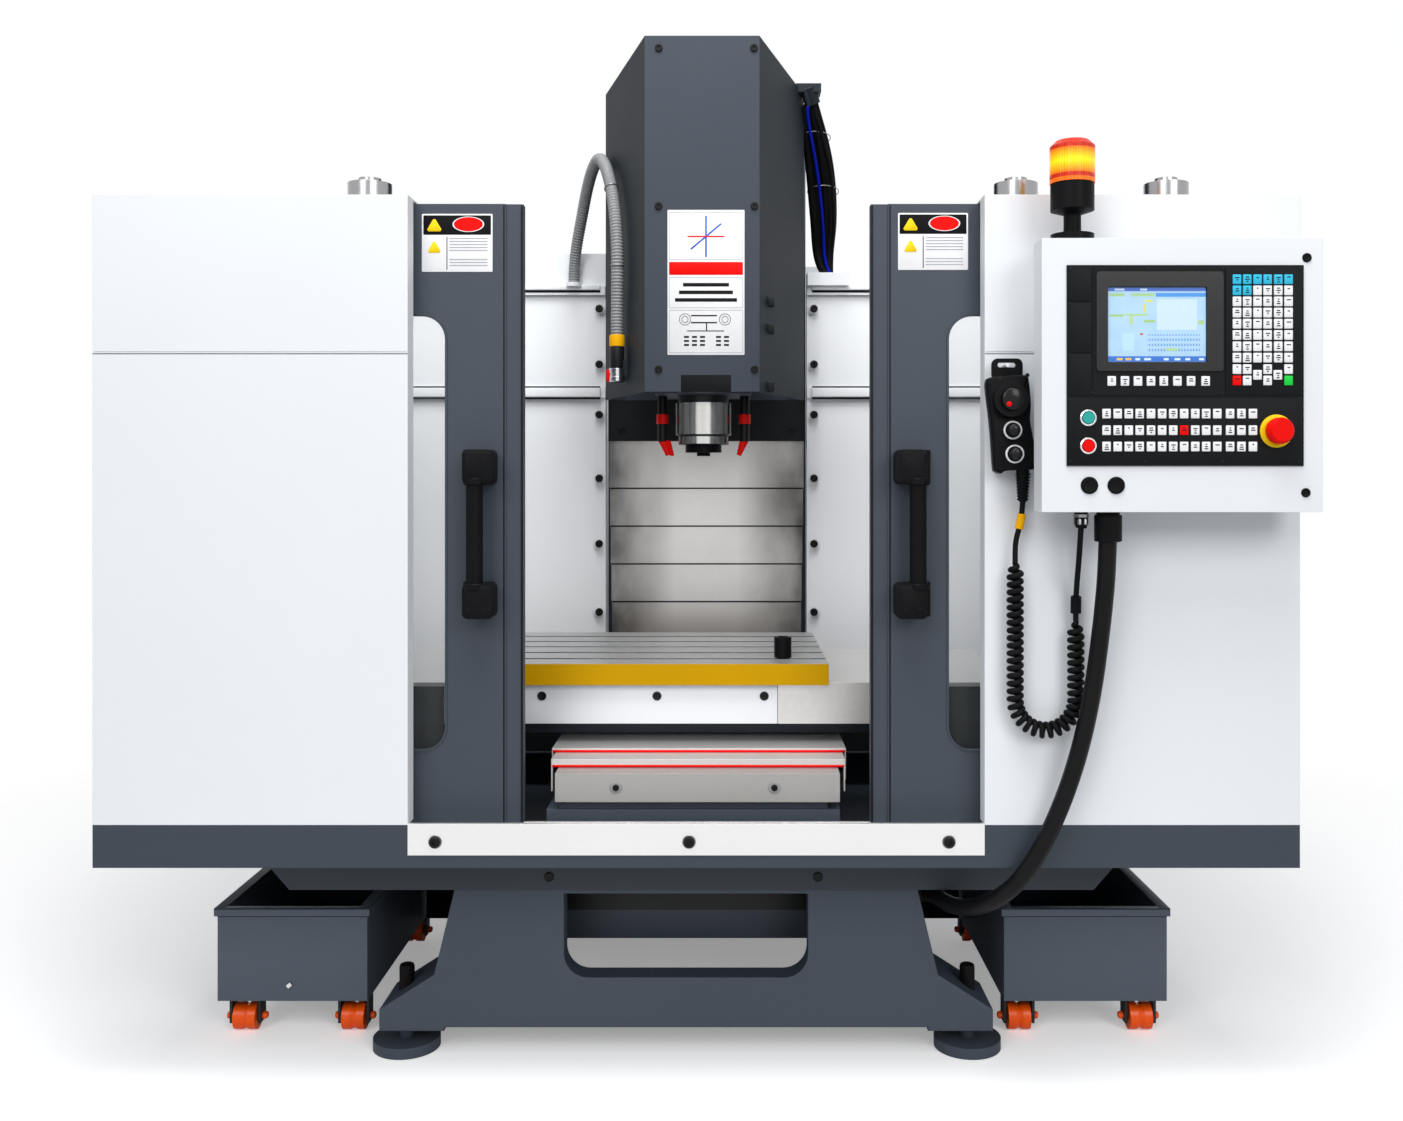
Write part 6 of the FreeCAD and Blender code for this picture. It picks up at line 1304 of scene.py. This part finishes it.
# %% Clips on the slanted sides of the hood, and the second tip of the left coolant nozzle
clips = []
for px, py in ((771, 302), (771, 329), (771, 387), (641, 297), (641, 324), (641, 343)):
    x, z = seen(px, py, -0.320)
    clips.append(block((x - 0.009, -0.332, z - 0.011), (x + 0.009, -0.296, z + 0.011), 1, 0.003, 0.001))
piece("hood_clips", clips, bolt_black, "head")
TIP = [(1.3065, 0.0040), (1.3080, 0.0058), (1.3430, 0.0102), (1.3455, 0.0085)]
TIP_ROOT, TIP_LEAN = 1.349, math.radians(20)
tip, tip_faces = turned(TIP, (-0.0955, -0.220, 0), sides=28)
tip[:, 0] += (TIP_ROOT - tip[:, 2]) * math.tan(TIP_LEAN)
piece("left_nozzle_tip", (tip, tip_faces), signal_red, "head")

# %% Under the base and on the tanks
WHEEL_HALF = 0.025
BOLT = [(0.100, 0.0150), (0.102, 0.0165), (0.174, 0.0165), (0.179, 0.0150), (0.181, 0.0110)]
STUD = [(0.0352, 0.0085), (0.0420, 0.0085), (0.0455, 0.0062), (0.0468, 0.0025)]
# The rib's near-black upper band is a painted shadow.
piece("bed_rib", across((-0.3260, -0.606, 0.2110), (0.2720, -0.594, 0.3558), 0.002, 0.001), rib_paint)
guards = [across((low, -0.110, 0.0875), (high, -0.098, 0.2850), 0.002, 0.001)
          for low, high in ((-0.7335, -0.6050), (0.5600, 0.6715))]
piece("tank_guards", guards, black_plastic)
bolts = [turned(BOLT, (x, y, 0), sides=28) for x in (-0.644, 0.590) for y in (-0.675, 0.690)]
piece("foot_bolts", bolts, black_plastic)
x, z = seen(289, 985.5, -0.655)
mark = block((x - 0.0055, -0.6562, z - 0.0042), (x + 0.0055, -0.6548, z + 0.0042), 1, 0.001, 0.0003)
piece("tank_mark", leaned(mark, math.radians(40), (x, -0.655, z)), line_white)


def corners(name):
    """The lowest and highest corner of a CAD node."""
    box = np.array(frame["nodes"][name].bound_box)
    return box.min(axis=0), box.max(axis=0)


studs = []
for name in WHEEL_ROWS:
    low, high = corners(name)
    for x in (low[0] + WHEEL_HALF, high[0] - WHEEL_HALF):
        for cap in (STUD, [(-along, radius) for along, radius in reversed(STUD)]):
            studs.append(turned(cap, (x, (low[1] + high[1]) / 2, (low[2] + high[2]) / 2), "x", 24))
piece("axle_studs", studs, wheel_orange)

# %% Folded rims of the tanks, with a painted shadow under the front rim
FLANGE, RIM_HEIGHT, PROUD, SHEET = 0.024, 0.017, 0.006, 0.0020
rims, rim_shadows = [], []
for name in ("left_tank", "right_tank"):
    (x0, y0, _), (x1, y1, top) = corners(name)
    for ax, ay, bx, by in (
        (x0, y0, x0 + FLANGE, y1), (x1 - FLANGE, y0, x1, y1), (x0 + FLANGE, y0, x1 - FLANGE, y0 + FLANGE * 0.7),
        (x0 + FLANGE, y1 - FLANGE * 0.7, x1 - FLANGE, y1),
    ):
        rims.append(block((ax, ay, top - SHEET), (bx, by, top + 0.0004), 2, 0.0006, 0.0003))
    under = top - RIM_HEIGHT
    # A dark strip under the front rim: a painted shadow.
    rim_shadows.append(block((x0 + PROUD, y0 + PROUD - 0.0014, under - 0.0030),
                         (x1 - PROUD, y0 + PROUD + 0.0010, under), 1, 0.0006, 0.0003))
piece("tank_rims", rims, tank_paint)
piece("tank_rim_shadows", rim_shadows, black_paint)

# %% Pale rings round the screws, and louvres, hinges and catches of the electrical cabinet
HINGE = [(0, 0.0055), (0.002, 0.0065), (0.068, 0.0065), (0.070, 0.0055)]
CATCH = [(-0.0005, 0.016), (0.003, 0.016), (0.004, 0.0145), (0.004, 0.004)]
piece("wall_washers", each(washer, WALL_SCREWS, WALL, 0.0106, 0.0150), line_white)
piece("sill_washers", each(washer, SILL_SCREWS, SILL, 0.0110, 0.0140), bolt_steel)
slats = [across((x - 0.0065, 0.830, 0.800 + row * 0.021), (x + 0.0065, 1.020, 0.812 + row * 0.021), 0.0055, 0.003)
         for x in (-0.400, 0.400) for row in range(8)]
piece("cabinet_louvres", slats, white_paint)
hinges = [turned(HINGE, (-0.4035, 1.0950, z), sides=20) for z in (0.760, 1.265, 1.770)]
piece("cabinet_hinges", hinges, bolt_steel)
catches = [turned(CATCH, (0.400, 1.065, z), "x", 28) for z in (0.95, 1.62)]
piece("cabinet_catches", catches, black_plastic)

# %% [markdown]
# ## Light and ground
# Studio light: two broad lamps high in front, one overhead, and a smaller one that reaches down into the open
# enclosure. They stand high enough for flat black faces not to mirror them. The ground only catches the
# shadow: it fades out at its rim, and the backdrop is white to the camera, to metal and to glass.

# %% Lamps, world and floor
def lamp(name, place, aim, size, power):
    """A square area lamp at a place, turned to look at a point."""
    data = bpy.data.lights.new(name, "AREA")
    data.size, data.energy = size, power
    thing = new_object(name, data)
    x, y, z = np.subtract(aim, place)
    thing.location = place
    thing.rotation_euler = (math.atan2(math.hypot(x, y), -z), 0, math.atan2(y, x) - math.pi / 2)


lamp("key", (-3.2, -7.4, 5.0), (0, 0, 1.2), 3.5, 182)
lamp("fill", (3.6, -7.4, 4.6), (0, 0, 1.2), 3.5, 222)
lamp("top", (0.0, -3.2, 6.5), (0, 0, 1.0), 3.2, 128)
lamp("inner", (0.0, -1.6, 4.2), (0, 0.2, 1.0), 1.6, 58)

bpy.context.scene.world = bpy.data.worlds.new("studio")
w = Finish(bpy.context.scene.world)
path = w.node("LightPath")
seen_ray = path["Is Camera Ray"].either(path["Is Glossy Ray"]).either(path["Is Transmission Ray"])
dim = w.node("Background", {"Color": (0.93, 0.95, 1.0), "Strength": 0.33})
white = w.node("Background", {"Color": (1.0, 1.0, 1.0)})
w.end(w.node("MixShader", {0: seen_ray, 1: dim, 2: white}), "OutputWorld")

GROUND, DEPTH, FADE_END, FADE = 6, -0.001, 3.4, 1.6
floor_mesh = bpy.data.meshes.new("floor")
ground = [(-GROUND, -GROUND, DEPTH), (GROUND, -GROUND, DEPTH), (GROUND, GROUND, DEPTH), (-GROUND, GROUND, DEPTH)]
floor_mesh.from_pydata(ground, [], [(0, 1, 2, 3)])
floor = new_object("floor", floor_mesh)
f = Finish("floor")
x, y, z = f.place()
away = f.node("Math", {0: x * x + y * y}, {"operation": "SQRT"})
floor_mesh.materials.append(f.close(
    Base_Color=f.mix(f.noise(1.5), (0.95, 0.95, 0.95), (0.97, 0.97, 0.97)), Roughness=0.9,
    Alpha=f.clamped((FADE_END - away) / FADE), Specular_IOR_Level=0.0,
    Emission_Color=f.mix(f.node("LightPath", output="Is Camera Ray"), (0.0, 0.0, 0.0), (1.0, 1.0, 1.0)),
    Emission_Strength=0.30,
))
bpy.context.scene.view_settings.view_transform = "Standard"
